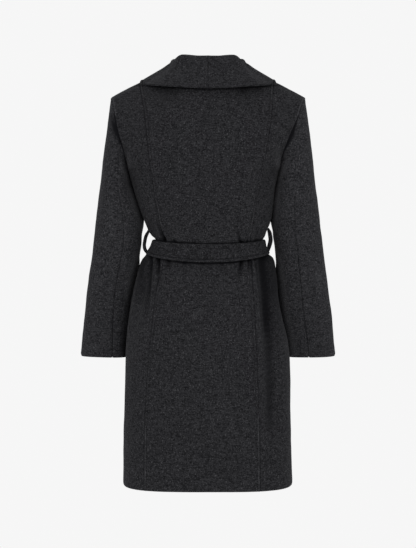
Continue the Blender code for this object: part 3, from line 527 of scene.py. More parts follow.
def level_height(level):
    """The height of a level at the centre of the body."""
    return level if level < UNDERARM_HEIGHT else UNDERARM_HEIGHT * (1 - max(level, 0.0))


def princess(side, level):
    """How far round from the centre back the princess seam runs at this level."""
    column = 2 if side > 0 else 1
    height = level_height(level)
    if level >= 0:
        height = UNDERARM_HEIGHT + (PRINCESS_TOP - UNDERARM_HEIGHT) * level
    return around_for(side, False, read(PRINCESS_SEAMS, height, column), level)


def edge_line(edge, level):
    """How far round from the centre back a panel's edge is, + to the wearer's right."""
    side = 1 if edge.startswith("right") else -1
    return side * (1.0 if edge.endswith("side") else princess(side, level))


LEVEL_RUNS = (
    # bottom, top, rows: closest at the waist
    (HEM_HEIGHT, -0.470, 44),
    (-0.464, -0.380, 22),
    (-0.372, -0.243, 15),
)
UPPER_ROWS = 30
UPPER_SPACING = 1.5  # above 1, the rows get closer towards the shoulder
BODY_LEVELS = [level for run in LEVEL_RUNS for level in np.linspace(*run)]
BODY_LEVELS += [1 - (1 - row / UPPER_ROWS) ** UPPER_SPACING for row in range(UPPER_ROWS + 1)]


def back_grid(left_edge, right_edge, columns):
    """Points of a strip of the back between two edges, from the hem up."""
    lap = SEAM_LAP / 2 / QUARTER_GIRTH
    rows = []
    for level in BODY_LEVELS:
        start, end = edge_line(left_edge, level) - lap, edge_line(right_edge, level) + lap
        places = [start + (end - start) * j / columns for j in range(columns + 1)]
        rows.append([coat_point(1 if p >= 0 else -1, False, abs(p), level) for p in places])
    return np.array(rows)


def spline(values, places, where):
    """Values at other places along the first axis, on a smooth curve through the known ones."""
    slope = np.gradient(values, places, axis=0)
    k = np.clip(np.searchsorted(places, where, side="right") - 1, 0, len(places) - 2)
    shape = (-1,) + (1,) * (values.ndim - 1)
    span = (places[k + 1] - places[k]).reshape(shape)
    part = (where - places[k]).reshape(shape) / span
    return smooth_curve(part, values[k], values[k + 1], slope[k] * span, slope[k + 1] * span)


def step_count(length):
    """How many even steps fit between the closer places at both ends of this length."""
    return max(FEWEST_STEPS, round((length - 2 * EDGE_PLACES[-1]) / FINE_STEP))


def spaced(length, steps):
    """Places from 0 to this length: close together near both ends, even between."""
    near = np.array(EDGE_PLACES)
    between = np.linspace(near[-1], length - near[-1], steps + 1)[1:-1]
    return np.concatenate([near, between, length - near[::-1]])


def lengths_along(points):
    """How far each point is along the line through them all."""
    steps = np.linalg.norm(np.diff(points, axis=0), axis=1)
    return np.concatenate([[0.0], np.cumsum(np.maximum(steps, 1e-7))])


def new_piece(name, points, faces, shade_paint=None, sharp_angle=None):
    """A mesh in the scene, with the shade or highlight painted on it at each of its points."""
    mesh = bpy.data.meshes.new(name)
    mesh.from_pydata(points, [], faces)
    mesh.shade_smooth()
    if sharp_angle:
        mesh.set_sharp_from_angle(angle=sharp_angle)
    if shade_paint is not None:
        painted_shading = mesh.attributes.new("painted_shading", "FLOAT", "POINT")
        painted_shading.data.foreach_set("value", shade_paint)
    thing = bpy.data.objects.new(name, mesh)
    bpy.context.scene.collection.objects.link(thing)
    return thing


class Cloth:
    """One piece of cloth as a grid of points, with how far each lies from the piece's edges."""

    def __init__(self, name, coarse, outward):
        self.name = name
        across = step_count(np.mean([lengths_along(row)[-1] for row in coarse]))
        rows, self.left = [], []
        for row in coarse:
            places = lengths_along(row)
            where = spaced(places[-1], across)
            rows.append(spline(row, places, where))
            self.left.append(where)
        rows, left = np.array(rows), np.array(self.left)
        centre = rows[:, rows.shape[1] // 2]
        places = lengths_along(centre)
        where = spaced(places[-1], step_count(places[-1]))
        self.points = spline(rows, places, where)
        self.left = spline(left, places, where)
        self.right = self.left[:, -1:] - self.left
        steps = np.linalg.norm(np.diff(self.points, axis=0), axis=2)
        self.below = np.concatenate([np.zeros((1, steps.shape[1])), np.cumsum(steps, axis=0)])
        self.above = self.below[-1:] - self.below
        self.outward = outward
        # The shade painted on the cloth at each point; below 0 it is painted highlight
        self.painted_shading = np.zeros(self.left.shape)

    def normals(self):
        """The direction out of the cloth at each point."""
        along = np.gradient(self.points, axis=0)
        across = np.gradient(self.points, axis=1)
        normal = np.cross(across, along) * self.outward
        return normal / np.maximum(np.linalg.norm(normal, axis=2, keepdims=True), 1e-9)

    def move_out(self, amount):
        self.points = self.points + self.normals() * amount[..., None]

    def along(self, lines):
        """For each line, how far each point is from it in widths, and the line's values there."""
        flat = self.points[..., (0, 2)]
        for start, middle, end, width, *values in lines:
            near = np.full(self.left.shape, 1e9)
            value = np.zeros(self.left.shape)
            start, middle, end = np.array(start), np.array(middle), np.array(end)
            for part in np.linspace(0.0, 1.0, CREASE_SPOTS):
                spot = start * (1 - part) ** 2 + 2 * middle * part * (1 - part) + end * part**2
                off = np.linalg.norm(flat - spot, axis=2)
                value = np.where(off < near, np.interp(part, (0.0, 0.5, 1.0), values[-3:]), value)
                near = np.minimum(near, off)
            yield near / width, value

    def crease(self, lines):
        """Presses the creases in: a soft trough with a low shoulder on each side, and paints shade
        into each trough.
        """
        total = np.zeros(self.left.shape)
        for off, depth in self.along(lines):
            share = CREASE_SHOULDER * off**2
            total += depth * (1 - share) * np.exp(-share)
        # painted shade as deep as the trough
        self.painted_shading += np.maximum(total, 0.0)
        self.move_out(-total)

    def paint_light_and_shade(self, lines):
        """Paints shade along these lines, or painted highlight where the amount is below 0, and leaves
        the cloth's form.
        """
        for off, amount in self.along(lines):
            self.painted_shading += amount * fading(off, 0.0, 1.0)

    def wander(self, share=1.0):
        """The slight unevenness of worn wool, the same on both sides of a seam."""
        amount = np.zeros(self.left.shape)
        for i, row in enumerate(self.points):
            for j, point in enumerate(row):
                for spacing, height in UNEVENNESS:
                    shift = Vector((spacing * UNEVENNESS_SHIFT, 0.0, 0.0))
                    amount[i, j] += height * noise.noise(Vector(point) / spacing + shift)
        self.move_out(amount * share)

    def seam(self, far, topstitched=False, strength=1.0):
        """Pulls the cloth in at a seam with painted shade in its dip, and presses a line of
        topstitching beside it, with painted shade in its groove and patchy painted highlight along the
        raised allowance.
        """
        dip = fading(far, 0.0, SEAM_DIP_WIDTH)
        amount = -SEAM_DIP * dip * strength
        # painted shade in the seam's dip
        self.painted_shading += SEAM_SHADE * dip * strength
        if topstitched:
            raised = 0.5 - 0.5 * np.tanh((far - RAISED_TO) / RAISED_ROUNDING)
            groove = fading(far, STITCH_LINE, GROOVE_WIDTH)
            amount += SEAM_RAISE * raised - GROOVE * groove
            patches = sum(np.sin(self.below * pace + start) for pace, start in SEAM_HIGHLIGHT_PATCHES)
            seam_highlight = fading(far, SEAM_HIGHLIGHT_PLACE, SEAM_HIGHLIGHT_WIDTH)
            seam_highlight *= np.clip(SEAM_HIGHLIGHT_MEAN + SEAM_HIGHLIGHT_SWING * patches, 0.0, SEAM_HIGHLIGHT_MOST)
            seam_highlight *= np.interp(self.points[..., 2], *zip(*SEAM_HIGHLIGHT_ALONG))
            # painted shade in the stitch groove, painted highlight along the raised allowance
            self.painted_shading += GROOVE_SHADE * groove - RAISED_HIGHLIGHT * seam_highlight
        self.move_out(amount)

    def side_edge(self, far):
        """The edge down the armhole, proud of the sleeve, and down the side seam, with painted
        highlight along the armhole's edge at the shoulder and beside the edge near the underarm.
        """
        height = self.points[..., 2]
        in_armhole = np.clip((height - UNDERARM_HEIGHT) / ARMHOLE_START, 0.0, 1.0)
        self.seam(far, strength=1 - ARMHOLE_FLATNESS * in_armhole)
        ridge = fading(far, RIDGE_PLACE, RIDGE_WIDTH)
        ridge *= np.clip((height - RIDGE_FOOT) / RIDGE_FADE, 0.0, 1.0)
        beside = fading(far, SIDE_PLACE, SIDE_WIDTH) * fading(height, SIDE_HEIGHT, SIDE_REACH)
        # painted highlight
        self.painted_shading -= RIDGE_HIGHLIGHT * ridge + SIDE_HIGHLIGHT * beside

    def shade_near(self, surface):
        """Paints shade where this piece comes close to another below the shoulder, and painted
        highlight a little further off.
        """
        for i, row in enumerate(self.points):
            for j, point in enumerate(row):
                gap = (surface.find_nearest(Vector(point))[0] - Vector(point)).length
                dark = NEAR_SHADE * fading(gap, 0.0, NEAR_WIDTH)
                pale = BESIDE_HIGHLIGHT * fading(gap, BESIDE_PLACE, BESIDE_WIDTH)
                self.painted_shading[i, j] += dark * ease((NEAR_TOP - point[2]) / NEAR_FADE)
                self.painted_shading[i, j] -= pale * ease((BESIDE_TOP - point[2]) / BESIDE_FADE)

    def corners(self):
        """Paints shade in the corners along the belt's edges and under the collar's edge, and a
        painted shadow below the belt.
        """
        out, height = np.abs(self.points[..., 0]), self.points[..., 2]
        places, belt_top, belt_foot = np.array(BELT_EDGES).T
        upper, lower = np.interp(out, places, belt_top), np.interp(out, places, belt_foot)
        for edge in (upper, lower, np.interp(out, *np.array(COLLAR_EDGE).T)):
            self.painted_shading += CORNER_SHADE * fading(height, edge, CORNER_WIDTH)
        below = np.maximum(lower - height, 0.0)
        self.painted_shading += UNDER_BELT_SHADE * np.exp(-below / UNDER_BELT_DEPTH) * (height < lower)

    def soften(self, far, depth=0.0006, width=0.0016):
        """Rounds the cloth over at a folded or cut edge."""
        self.move_out(-depth * fading(far, 0.0, width))

    def shell(self, thickness=CLOTH):
        """The finished piece: the outer face, the inner face and a rim between them."""
        outer, inner = self.points, self.points - self.normals() * thickness
        rows, columns = self.left.shape
        index = np.arange(rows * columns).reshape(rows, columns)
        a, b = index[:-1, :-1].ravel(), index[:-1, 1:].ravel()
        c, d = index[1:, 1:].ravel(), index[1:, :-1].ravel()
        faces = np.stack([a, b, c, d], axis=1)
        if self.outward < 0:
            faces = faces[:, ::-1]
        back = faces[:, ::-1] + rows * columns
        border = [index[0, :-1], index[:-1, -1], index[-1, :0:-1], index[:0:-1, 0]]
        border = np.concatenate(border)
        if self.outward < 0:
            border = border[::-1]
        after = np.roll(border, -1)
        inside, inside_after = border + rows * columns, after + rows * columns
        rim = np.stack([after, border, inside, inside_after], axis=1)
        points = np.concatenate([outer.reshape(-1, 3), inner.reshape(-1, 3)])
        faces = np.concatenate([faces, back, rim])
        shade_paint = np.tile(self.painted_shading.ravel(), 2)
        return new_piece(self.name, points.tolist(), faces.tolist(), shade_paint, SHARP_ANGLE)


# The cloth's colours, from its darkest fibres to the pale hairs spun in with them, and last the flat
# dark colour of painted shade
DARK_FIBRE = (0.0062, 0.0062, 0.0070, 1.0)
MIDDLE_FIBRE = (0.0252, 0.0252, 0.0276, 1.0)
PALE_FIBRE = (0.104, 0.104, 0.110, 1.0)
PAINTED_SHADE_COLOUR = (0.0042, 0.0042, 0.0050, 1.0)
# Its flecks: scale, detail and roughness
FELT = (330.0, 3.0, 0.6)
YARNS = (300.0, 2.0, 0.5)
HAIRS = (560.0, 2.0, 0.55)
CROSS_HAIRS = (620.0, 1.0, 0.5)
# How their flecks are squeezed across, across and along the coat; below 1 makes them longer
WEFT_SHAPE = (0.38, 0.38, 1.6)
WARP_SHAPE = (1.5, 1.5, 0.38)
HAIR_SHAPE = (0.6, 0.6, 1.3)
CROSS_HAIR_SHAPE = (1.0, 1.0, 0.40)
CROSS_HAIR_TURN = (0.5, 0.4, 0.2)
FELT_SHARE, WEFT_SHARE, WARP_SHARE = 0.40, 0.34, 0.26
CLOTH_RANGE = (0.37, 0.63)  # from the darkest to the middle fibres
HAIR_RANGE = (0.58, 0.74)
CROSS_HAIR_RANGE = (0.60, 0.76)
HAIR_STRENGTH = 0.52
PAINTED_SHADE_RANGE = (0.0002, 0.0100)  # from no painted shade to full painted shade
# Painted highlight, where the painted shade is below 0, mixes towards the pale hairs' colour
PAINTED_LIGHT_RANGE = (0.0, 0.006)
PAINTED_LIGHT_STRENGTH = 0.5
RELIEF = 0.8
CLOTH_RELIEF = 0.0011
HAIR_RELIEF = 0.0005
WOOL_FINISH = {
    "Roughness": 0.95,
    "Specular IOR Level": 0.02,
    "Sheen Weight": 0.03,
    "Sheen Roughness": 0.45,
    "Sheen Tint": (0.80, 0.81, 0.85, 1.0),
}


def times(one, two):
    return tuple(a * b for a, b in zip(one, two))


def wool(name, grain, tone=1.0):
    """Felted wool with pale hairs through it. Grain stretches its flecks along the yarns. Shade
    painted on a piece darkens it and painted highlight makes it paler; tone makes a paler or darker
    copy of the wool, as painted light or shade.
    """
    dark, middle, pale_hair, flat = (
        tuple(part * tone for part in colour[:3]) + (1.0,)
        for colour in (DARK_FIBRE, MIDDLE_FIBRE, PALE_FIBRE, PAINTED_SHADE_COLOUR)
    )
    material = new_material(name, WOOL_FINISH)
    tree = material.node_tree
    shader = tree.nodes["Principled BSDF"]
    place = tree.nodes.new("ShaderNodeTexCoord").outputs["Object"]

    def flecks(kind, shape, turn=(0.0, 0.0, 0.0)):
        mapping = tree.nodes.new("ShaderNodeMapping")
        mapping.inputs["Scale"].default_value = shape
        mapping.inputs["Rotation"].default_value = turn
        texture = tree.nodes.new("ShaderNodeTexNoise")
        for socket, value in zip(("Scale", "Detail", "Roughness"), kind):
            texture.inputs[socket].default_value = value
        tree.links.new(place, mapping.inputs["Vector"])
        tree.links.new(mapping.outputs["Vector"], texture.inputs["Vector"])
        return texture.outputs["Fac"]

    def between(value, ends):
        node = tree.nodes.new("ShaderNodeMapRange")
        node.interpolation_type = "SMOOTHSTEP"
        node.inputs["From Min"].default_value, node.inputs["From Max"].default_value = ends
        tree.links.new(value, node.inputs["Value"])
        return node.outputs["Result"]

    def maths(kind, one, two):
        node = tree.nodes.new("ShaderNodeMath")
        node.operation = kind
        for socket, value in zip(node.inputs, (one, two)):
            if isinstance(value, float):
                socket.default_value = value
            else:
                tree.links.new(value, socket)
        return node.outputs["Value"]

    def mixed(share, one, two):
        node = tree.nodes.new("ShaderNodeMix")
        node.data_type = "RGBA"
        tree.links.new(share, node.inputs["Factor"])
        for socket, value in ((node.inputs[6], one), (node.inputs[7], two)):
            if isinstance(value, tuple):
                socket.default_value = value
            else:
                tree.links.new(value, socket)
        return node.outputs[2]

    felt = flecks(FELT, grain)
    weft = flecks(YARNS, times(grain, WEFT_SHAPE))
    warp = flecks(YARNS, times(grain, WARP_SHAPE))
    hairs = flecks(HAIRS, times(grain, HAIR_SHAPE))
    cross_hairs = flecks(CROSS_HAIRS, CROSS_HAIR_SHAPE, CROSS_HAIR_TURN)
    weft, warp = maths("MULTIPLY", weft, WEFT_SHARE), maths("MULTIPLY", warp, WARP_SHARE)
    cloth = maths("ADD", maths("MULTIPLY", felt, FELT_SHARE), maths("ADD", weft, warp))
    colour = mixed(between(cloth, CLOTH_RANGE), dark, middle)
    pale = maths("MAXIMUM", between(hairs, HAIR_RANGE), between(cross_hairs, CROSS_HAIR_RANGE))
    colour = mixed(maths("MULTIPLY", pale, HAIR_STRENGTH), colour, pale_hair)
    # Painted shade and painted highlight, carried on each piece
    shade_paint = tree.nodes.new("ShaderNodeAttribute")
    shade_paint.attribute_name = "painted_shading"
    shade_paint = shade_paint.outputs["Fac"]
    colour = mixed(between(shade_paint, PAINTED_SHADE_RANGE), colour, flat)
    painted_light = between(maths("MULTIPLY", shade_paint, -1.0), PAINTED_LIGHT_RANGE)
    colour = mixed(maths("MULTIPLY", painted_light, PAINTED_LIGHT_STRENGTH), colour, pale_hair)
    tree.links.new(colour, shader.inputs["Base Color"])

    surface = None
    for height, depth in ((cloth, CLOTH_RELIEF), (hairs, HAIR_RELIEF)):
        bump = tree.nodes.new("ShaderNodeBump")
        bump.inputs["Strength"].default_value = RELIEF
        bump.inputs["Distance"].default_value = depth
        tree.links.new(height, bump.inputs["Height"])
        if surface:
            tree.links.new(surface, bump.inputs["Normal"])
        surface = bump.outputs["Normal"]
    tree.links.new(surface, shader.inputs["Normal"])
    return material


BODY_GRAIN = (0.74, 0.74, 1.10)
coat_wool = wool("charcoal_wool", BODY_GRAIN)


def finish_cloth(piece, material, node):
    """Dresses a piece, puts it on the coat's body and hides the imported part it stands for."""
    piece.data.materials.append(material)
    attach(piece, "root")
    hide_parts(node)


THREAD_HALF = 0.00042
STITCH_PITCH = 0.0042
STITCH_SHARE = 0.72
STITCH_BULGE = 0.4
THREAD_FINISH = {"Base Color": (0.012, 0.012, 0.014, 1.0), "Roughness": 0.6}
thread = new_material("dark_thread", THREAD_FINISH)


def stitching(name, lines):
    """Rows of stitches lying in their grooves; each line is its points and outward directions."""
    points, faces = [], []
    for path, normal in lines:
        places = lengths_along(path)
        where = np.arange(STITCH_PITCH, places[-1] - STITCH_PITCH, STITCH_PITCH)
        starts = spline(path, places, where)
        ends = spline(path, places, where + STITCH_PITCH * STITCH_SHARE)
        outs = spline(normal, places, where)
        for start, end, out in zip(starts, ends, outs):
            start, end, out = Vector(start), Vector(end), Vector(out).normalized()
            way = (end - start).normalized()
            side = way.cross(out).normalized() * THREAD_HALF
            lift = out * THREAD_HALF
            middle = (start + end) / 2 + lift * STITCH_BULGE
            first = len(points)
            points.append(start - lift)
            points += [middle + corner for corner in (side, lift, -side, -lift)]
            points.append(end - lift)
            for j in range(4):
                one, two = first + 1 + j, first + 1 + (j + 1) % 4
                faces.append((first, two, one))
                faces.append((one, two, first + 5))
    stitches = new_piece(name, points, faces)
    stitches.data.materials.append(thread)
    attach(stitches, "root")


BACK_PANELS = (
    # node, its edges, columns, cut width, length and area
    ("back_centre", "left seam", "right seam", 26, (0.300, 0.960, 0.250)),
    ("back_side_right", "right seam", "right side", 16, (0.190, 0.930, 0.130)),
    ("back_side_left", "left side", "left seam", 16, (0.180, 0.930, 0.120)),
)
back_stitches = []
for node, left_edge, right_edge, columns, cut in BACK_PANELS:
    panel = Cloth(node + "_cloth", back_grid(left_edge, right_edge, columns), 1)
    panel.crease(BACK_CREASES)
    panel.paint_light_and_shade(BACK_PAINTED_SHADE)
    panel.wander()
    panel.corners()
    centre = node == "back_centre"
    for edge, far in ((left_edge, panel.left), (right_edge, panel.right)):
        if edge.endswith("side"):
            panel.side_edge(far)
        else:
            panel.seam(far, topstitched=centre)
    panel.soften(panel.below)
    if centre:
        normals = panel.normals()
        for column in (STITCH_COLUMN, -1 - STITCH_COLUMN):
            back_stitches.append((panel.points[:, column], normals[:, column]))
    finish_cloth(panel.shell(), coat_wool, node)
stitching("back_topstitching", back_stitches)


# ---------------------------------------------------------------- the fronts
# Two fronts of the same wool, joined to the back at the shoulders and the side seams. The
# wearer's right front is wrapped over the left one, and each folds back at its edge above the
# waist into the lapel.

UNDER_FRONT_STEP = 0.0046
STEP_FROM = -0.165  # where the left front starts to step in behind the right one
STEP_WIDTH = 0.045
FRONT_EDGE = (
    # height, out towards the front's own side
    (HEM_HEIGHT, -0.096),
    (-0.700, -0.094),
    (-0.520, -0.084),
    (-0.440, -0.070),
    (-0.385, -0.038),
    (-0.330, -0.012),
    (-0.270, 0.012),
    (-0.200, 0.035),
    (-0.120, 0.055),
    (-0.050, 0.068),
    (0.000, NECK_HALF_WIDTH),
)
FRONT_CREASES = (
    # laid out as BACK_CREASES is
    ((-0.100, -0.330), (-0.096, -0.362), (-0.086, -0.402), 0.0060, 0.0, 0.0024, 0.0058),
    ((-0.060, -0.360), (-0.058, -0.380), (-0.052, -0.404), 0.0050, 0.0, 0.0014, 0.0034),
    ((0.105, -0.325), (0.100, -0.362), (0.088, -0.402), 0.0060, 0.0, 0.0026, 0.0060),
    ((0.062, -0.352), (0.058, -0.378), (0.048, -0.404), 0.0052, 0.0, 0.0016, 0.0036),
    ((-0.104, -0.430), (-0.112, -0.480), (-0.124, -0.580), 0.0086, 0.0046, 0.0040, 0.0),
    ((-0.072, -0.436), (-0.073, -0.452), (-0.076, -0.492), 0.0050, 0.0040, 0.0020, 0.0),
    ((0.070, -0.436), (0.072, -0.452), (0.080, -0.500), 0.0052, 0.0040, 0.0022, 0.0),
    ((0.100, -0.430), (0.110, -0.490), (0.120, -0.620), 0.0096, 0.0046, 0.0044, 0.0),
    ((0.020, -0.440), (0.022, -0.456), (0.024, -0.492), 0.0050, 0.0022, 0.0010, 0.0),
    ((0.120, -0.600), (0.126, -0.720), (0.124, -0.900), 0.0160, 0.0016, 0.0034, 0.0008),
    ((-0.040, -0.540), (-0.030, -0.660), (-0.030, -0.800), 0.0240, 0.0, 0.0014, 0.0),
    ((-0.140, -0.210), (-0.120, -0.262), (-0.108, -0.300), 0.0130, 0.0, 0.0018, 0.0),
    ((0.142, -0.210), (0.122, -0.262), (0.110, -0.300), 0.0130, 0.0, 0.0018, 0.0),
)
FRONT_COLUMNS = 34
FRONT_EDGE_SHADE = 0.0060
FRONT_EDGE_WIDTH = 0.0018
FRONT_EDGE_ROUND = (0.0010, 0.0024)  # depth and width
FACING_STEP = 0.012  # how far apart the points are that a direction is taken from
FACING_STEP_DOWN = 0.0036
FACING_LAST = 0.985  # the direction up the cloth is taken no further round than this
TOUCH = 0.001  # nearer to an edge than this is on it


def coat_normal(side, front, around, level):
    """Outwards from the coat at that point, which is the same on both sides of a seam."""
    near, far = max(around - FACING_STEP, 0.0), min(around + FACING_STEP, 1.0)
    if level < UNDERARM_HEIGHT:
        low, high = level - FACING_STEP_DOWN, min(level + FACING_STEP_DOWN, UNDERARM_HEIGHT)
    else:
        low, high = max(level - FACING_STEP, 0.0), min(max(level, 0.0) + FACING_STEP, 1.0)
    across = coat_point(side, front, far, level) - coat_point(side, front, near, level)
    middle = min(around, FACING_LAST)
    up = coat_point(side, front, middle, high) - coat_point(side, front, middle, low)
    normal = across.cross(up) * side * (-1 if front else 1)
    if level >= 1.0 and abs(coat_point(side, front, around, level).x) > NECK_HALF_WIDTH - TOUCH:
        normal.y = 0.0
    if around >= 1 - TOUCH and level <= 0:
        normal = Vector((side, 0.0, 0.0))
    return normal.normalized()


def front_inner_edge(side, level):
    """How far round from the centre front the front's inner edge is; negative past it."""
    out = read(FRONT_EDGE, level_height(level), 1)
    if out >= 0:
        return around_for(side, True, out, level)
    return -around_for(-side, True, -out, level)


def front_point(side, place, level):
    """A point of a front. The left one steps in where the right one lies over it."""
    own = side if place >= 0 else -side
    point = coat_point(own, True, abs(place), level)
    if side > 0:
        return point
    step = UNDER_FRONT_STEP * ease((point.x - STEP_FROM) / STEP_WIDTH)
    return point - coat_normal(own, True, abs(place), level) * step


def front_grid(side):
    """Points of a front, from its inner edge round to the side seam and from the hem up."""
    lap = SEAM_LAP / 2 / QUARTER_GIRTH
    rows = []
    for level in BODY_LEVELS:
        start, end = front_inner_edge(side, level), 1.0 + lap
        if level >= 1.0:
            start = around_for(side, True, NECK_HALF_WIDTH, level)
        places = [start + (end - start) * j / FRONT_COLUMNS for j in range(FRONT_COLUMNS + 1)]
        rows.append([front_point(side, place, level) for place in places])
    grid = np.array(rows)
    grid[-1] -= (0.0, SEAM_LAP, 0.0)
    return grid


for side, node in ((1, "front_right"), (-1, "front_left")):
    panel = Cloth(node + "_cloth", front_grid(side), -side)
    panel.crease(FRONT_CREASES)
    panel.wander()
    panel.corners()
    panel.soften(panel.left, *FRONT_EDGE_ROUND)
    # Painted shade along the front's inner edge
    panel.painted_shading += FRONT_EDGE_SHADE * fading(panel.left, 0.0, FRONT_EDGE_WIDTH)
    panel.side_edge(panel.right)
    panel.soften(panel.below)
    finish_cloth(panel.shell(), coat_wool, node)


# ---------------------------------------------------------------- the sleeves
# Two-piece sleeves of the same wool: an upper and an under sleeve, joined by the hind-arm seam
# that shows from behind and a fore-arm seam inside. The head is eased into the armhole, so it
# stands a little proud there, and the cuff is a plain turned hem.

SLEEVE_RINGS = (
    # outer_x, inner_x, y, height, half_depth, lift_outside
    (0.2462, 0.1705, 0.004, -0.262, 0.068, 0.004),
    (0.2545, 0.1565, 0.006, -0.320, 0.066, 0.004),
    (0.2615, 0.1515, 0.011, -0.380, 0.062, 0.003),
    (0.2685, 0.1605, 0.021, -0.440, 0.058, 0.002),
    (0.2785, 0.1705, 0.034, -0.500, 0.055, 0.002),
    (0.2870, 0.1765, 0.049, -0.560, 0.051, 0.003),
    (0.2945, 0.1830, 0.066, -0.620, 0.048, 0.002),
    (0.3008, 0.1865, 0.079, -0.6695, 0.046, 0.001),
)
SLEEVE_AT = [(k / (len(SLEEVE_RINGS) - 1), *row) for k, row in enumerate(SLEEVE_RINGS)]
SLEEVE_SQUARENESS = 2.25
INSIDE_BACK_SQUARENESS = 3.0
HIND_SEAM = {-1: (104.0, 110.0), 1: (98.0, 98.0)}  # degrees back, at the armhole and the cuff
FORE_SEAM = 262.0
SLEEVE_GIRTH = 0.31
# How the sleeve leaves the armhole: sideways at its head, bulging and rolling at the underarm
SLEEVE_HEAD_REACH = 0.024
UNDERARM_REACH = 0.045
UNDERARM_QUICKNESS = 3.0
LONGEST_REACH = 0.9
TIP_REACH_LOST = 0.4
UNDERARM_PUSH = 0.015
UNDERARM_ROLL = 0.0050
ROLL_POWER = 0.7
SLEEVE_HEAD_DROOP = 0.016
ARM_DIRECTION = (0.10, 0.02, -1.0)
ARM_PULL = 0.9
SLEEVE_HEAD_FULLNESS = 0.0006
SLEEVE_HEAD_PLACE = 0.007
SLEEVE_HEAD_WIDTH = 0.006
SLEEVE_CLEARANCE = 0.0016
LAY_REACH = 0.003
SLEEVE_TUCK = 0.0012  # how far the sleeve's edge goes under the armhole's edge
TUCK_SINK = 0.6
TIP_UNTUCKED = 0.85  # the share of the tuck that is lost at the shoulder tip
TIP_FROM = 0.70
TIP_FADE = 0.25
CUFF_ROUND = (0.0022, 0.0034)  # depth and width
ARMHOLE_SEAM = 0.3
SLEEVE_SEAMS = (
    # height, how deep the seams between the sleeve's two pieces are there
    (-0.45, 0.9),
    (-0.30, 0.75),
    (-0.22, 0.1),
)
ARMHOLE_SHADES = (
    # height, how dark the shade painted on the sleeve along the armhole is there, and how wide
    (-0.240, 0.0070, 0.0032),
    (-0.215, 0.0085, 0.0038),
    (-0.195, 0.0095, 0.0048),
    (-0.172, 0.0085, 0.0052),
    (-0.150, 0.0060, 0.0062),
    (-0.125, 0.0035, 0.0060),
    (-0.108, 0.0008, 0.0050),
    (-0.067, 0.0000, 0.0030),
)
PRESS_ANGLE = 222.0  # degrees round the sleeve to the middle of what is pressed in
PRESS_WIDTH = 52.0
PRESS_STARTS_BY = 0.6  # of the way from the armhole down to the underarm
SLEEVE_PRESS = (
    # height, how far in towards the coat the left sleeve and the right one are pressed
    (-0.680, 0.004, 0.004),
    (-0.600, 0.008, 0.008),
    (-0.520, 0.011, 0.010),
    (-0.470, 0.012, 0.006),
    (-0.445, 0.007, 0.003),
    (-0.416, -0.001, 0.003),
    (-0.395, -0.003, 0.003),
    (-0.375, 0.000, 0.003),
    (-0.358, 0.006, 0.009),
    (-0.335, 0.014, 0.013),
    (-0.300, 0.018, 0.016),
    (-0.262, 0.018, 0.016),
    (-0.235, 0.014, 0.014),
    (-0.200, 0.006, 0.006),
    (-0.160, 0.000, 0.000),
)
# Down the sleeve: from -1 at the armhole through 0 under it to 1 at the cuff
SLEEVE_PLACES = list(np.linspace(-1.0, 0.0, 22)) + list(np.linspace(0.04, 1.0, 40))
SLEEVE_COLUMNS = 30
ARMHOLE_ROWS = 26
ARMHOLE_SPACING = 1.4
ARMHOLE_LEVELS = [1 - (1 - row / ARMHOLE_ROWS) ** ARMHOLE_SPACING for row in range(ARMHOLE_ROWS + 1)]
SLEEVE_CREASES = (
    # laid out as BACK_CREASES is
    ((-0.205, -0.250), (-0.222, -0.268), (-0.240, -0.270), 0.0110, 0.0, 0.0018, 0.0),
    ((-0.188, -0.330), (-0.212, -0.345), (-0.240, -0.338), 0.0120, 0.0016, 0.0018, 0.0),
    ((-0.200, -0.420), (-0.225, -0.432), (-0.262, -0.424), 0.0130, 0.0008, 0.0020, 0.0),
    ((-0.262, -0.500), (-0.238, -0.520), (-0.206, -0.514), 0.0140, 0.0, 0.0016, 0.0004),
    ((-0.196, -0.560), (-0.222, -0.596), (-0.240, -0.640), 0.0160, 0.0, 0.0014, 0.0),
    ((0.206, -0.246), (0.222, -0.262), (0.238, -0.262), 0.0110, 0.0, 0.0020, 0.0),
    ((0.186, -0.318), (0.212, -0.336), (0.243, -0.330), 0.0120, 0.0018, 0.0016, 0.0),
    ((0.244, -0.330), (0.250, -0.400), (0.262, -0.470), 0.0085, 0.0, 0.0016, 0.0),
    ((0.202, -0.440), (0.228, -0.446), (0.256, -0.432), 0.0130, 0.0012, 0.0018, 0.0),
    ((0.264, -0.520), (0.240, -0.536), (0.210, -0.530), 0.0140, 0.0, 0.0016, 0.0004),
    ((0.200, -0.580), (0.230, -0.610), (0.250, -0.650), 0.0160, 0.0, 0.0014, 0.0),
)
# Painted shade under the sleeve heads and beside the skirt, and painted highlight down the right
# sleeve
SLEEVE_PAINTED_LIGHT_AND_SHADE = (
    ((-0.2180, -0.1100), (-0.2105, -0.1360), (-0.1970, -0.1700), 0.0085, 0.0050, 0.0095, 0.0070),
    ((0.1985, -0.1200), (0.1925, -0.1480), (0.1790, -0.1790), 0.0066, 0.0010, 0.0100, 0.0040),
    ((0.2460, -0.4200), (0.2540, -0.4700), (0.2620, -0.5400), 0.0140, 0.0, -0.0014, 0.0),
    ((-0.1950, -0.5200), (-0.1980, -0.6000), (-0.1930, -0.6720), 0.0120, 0.0, 0.0060, 0.0100),
)


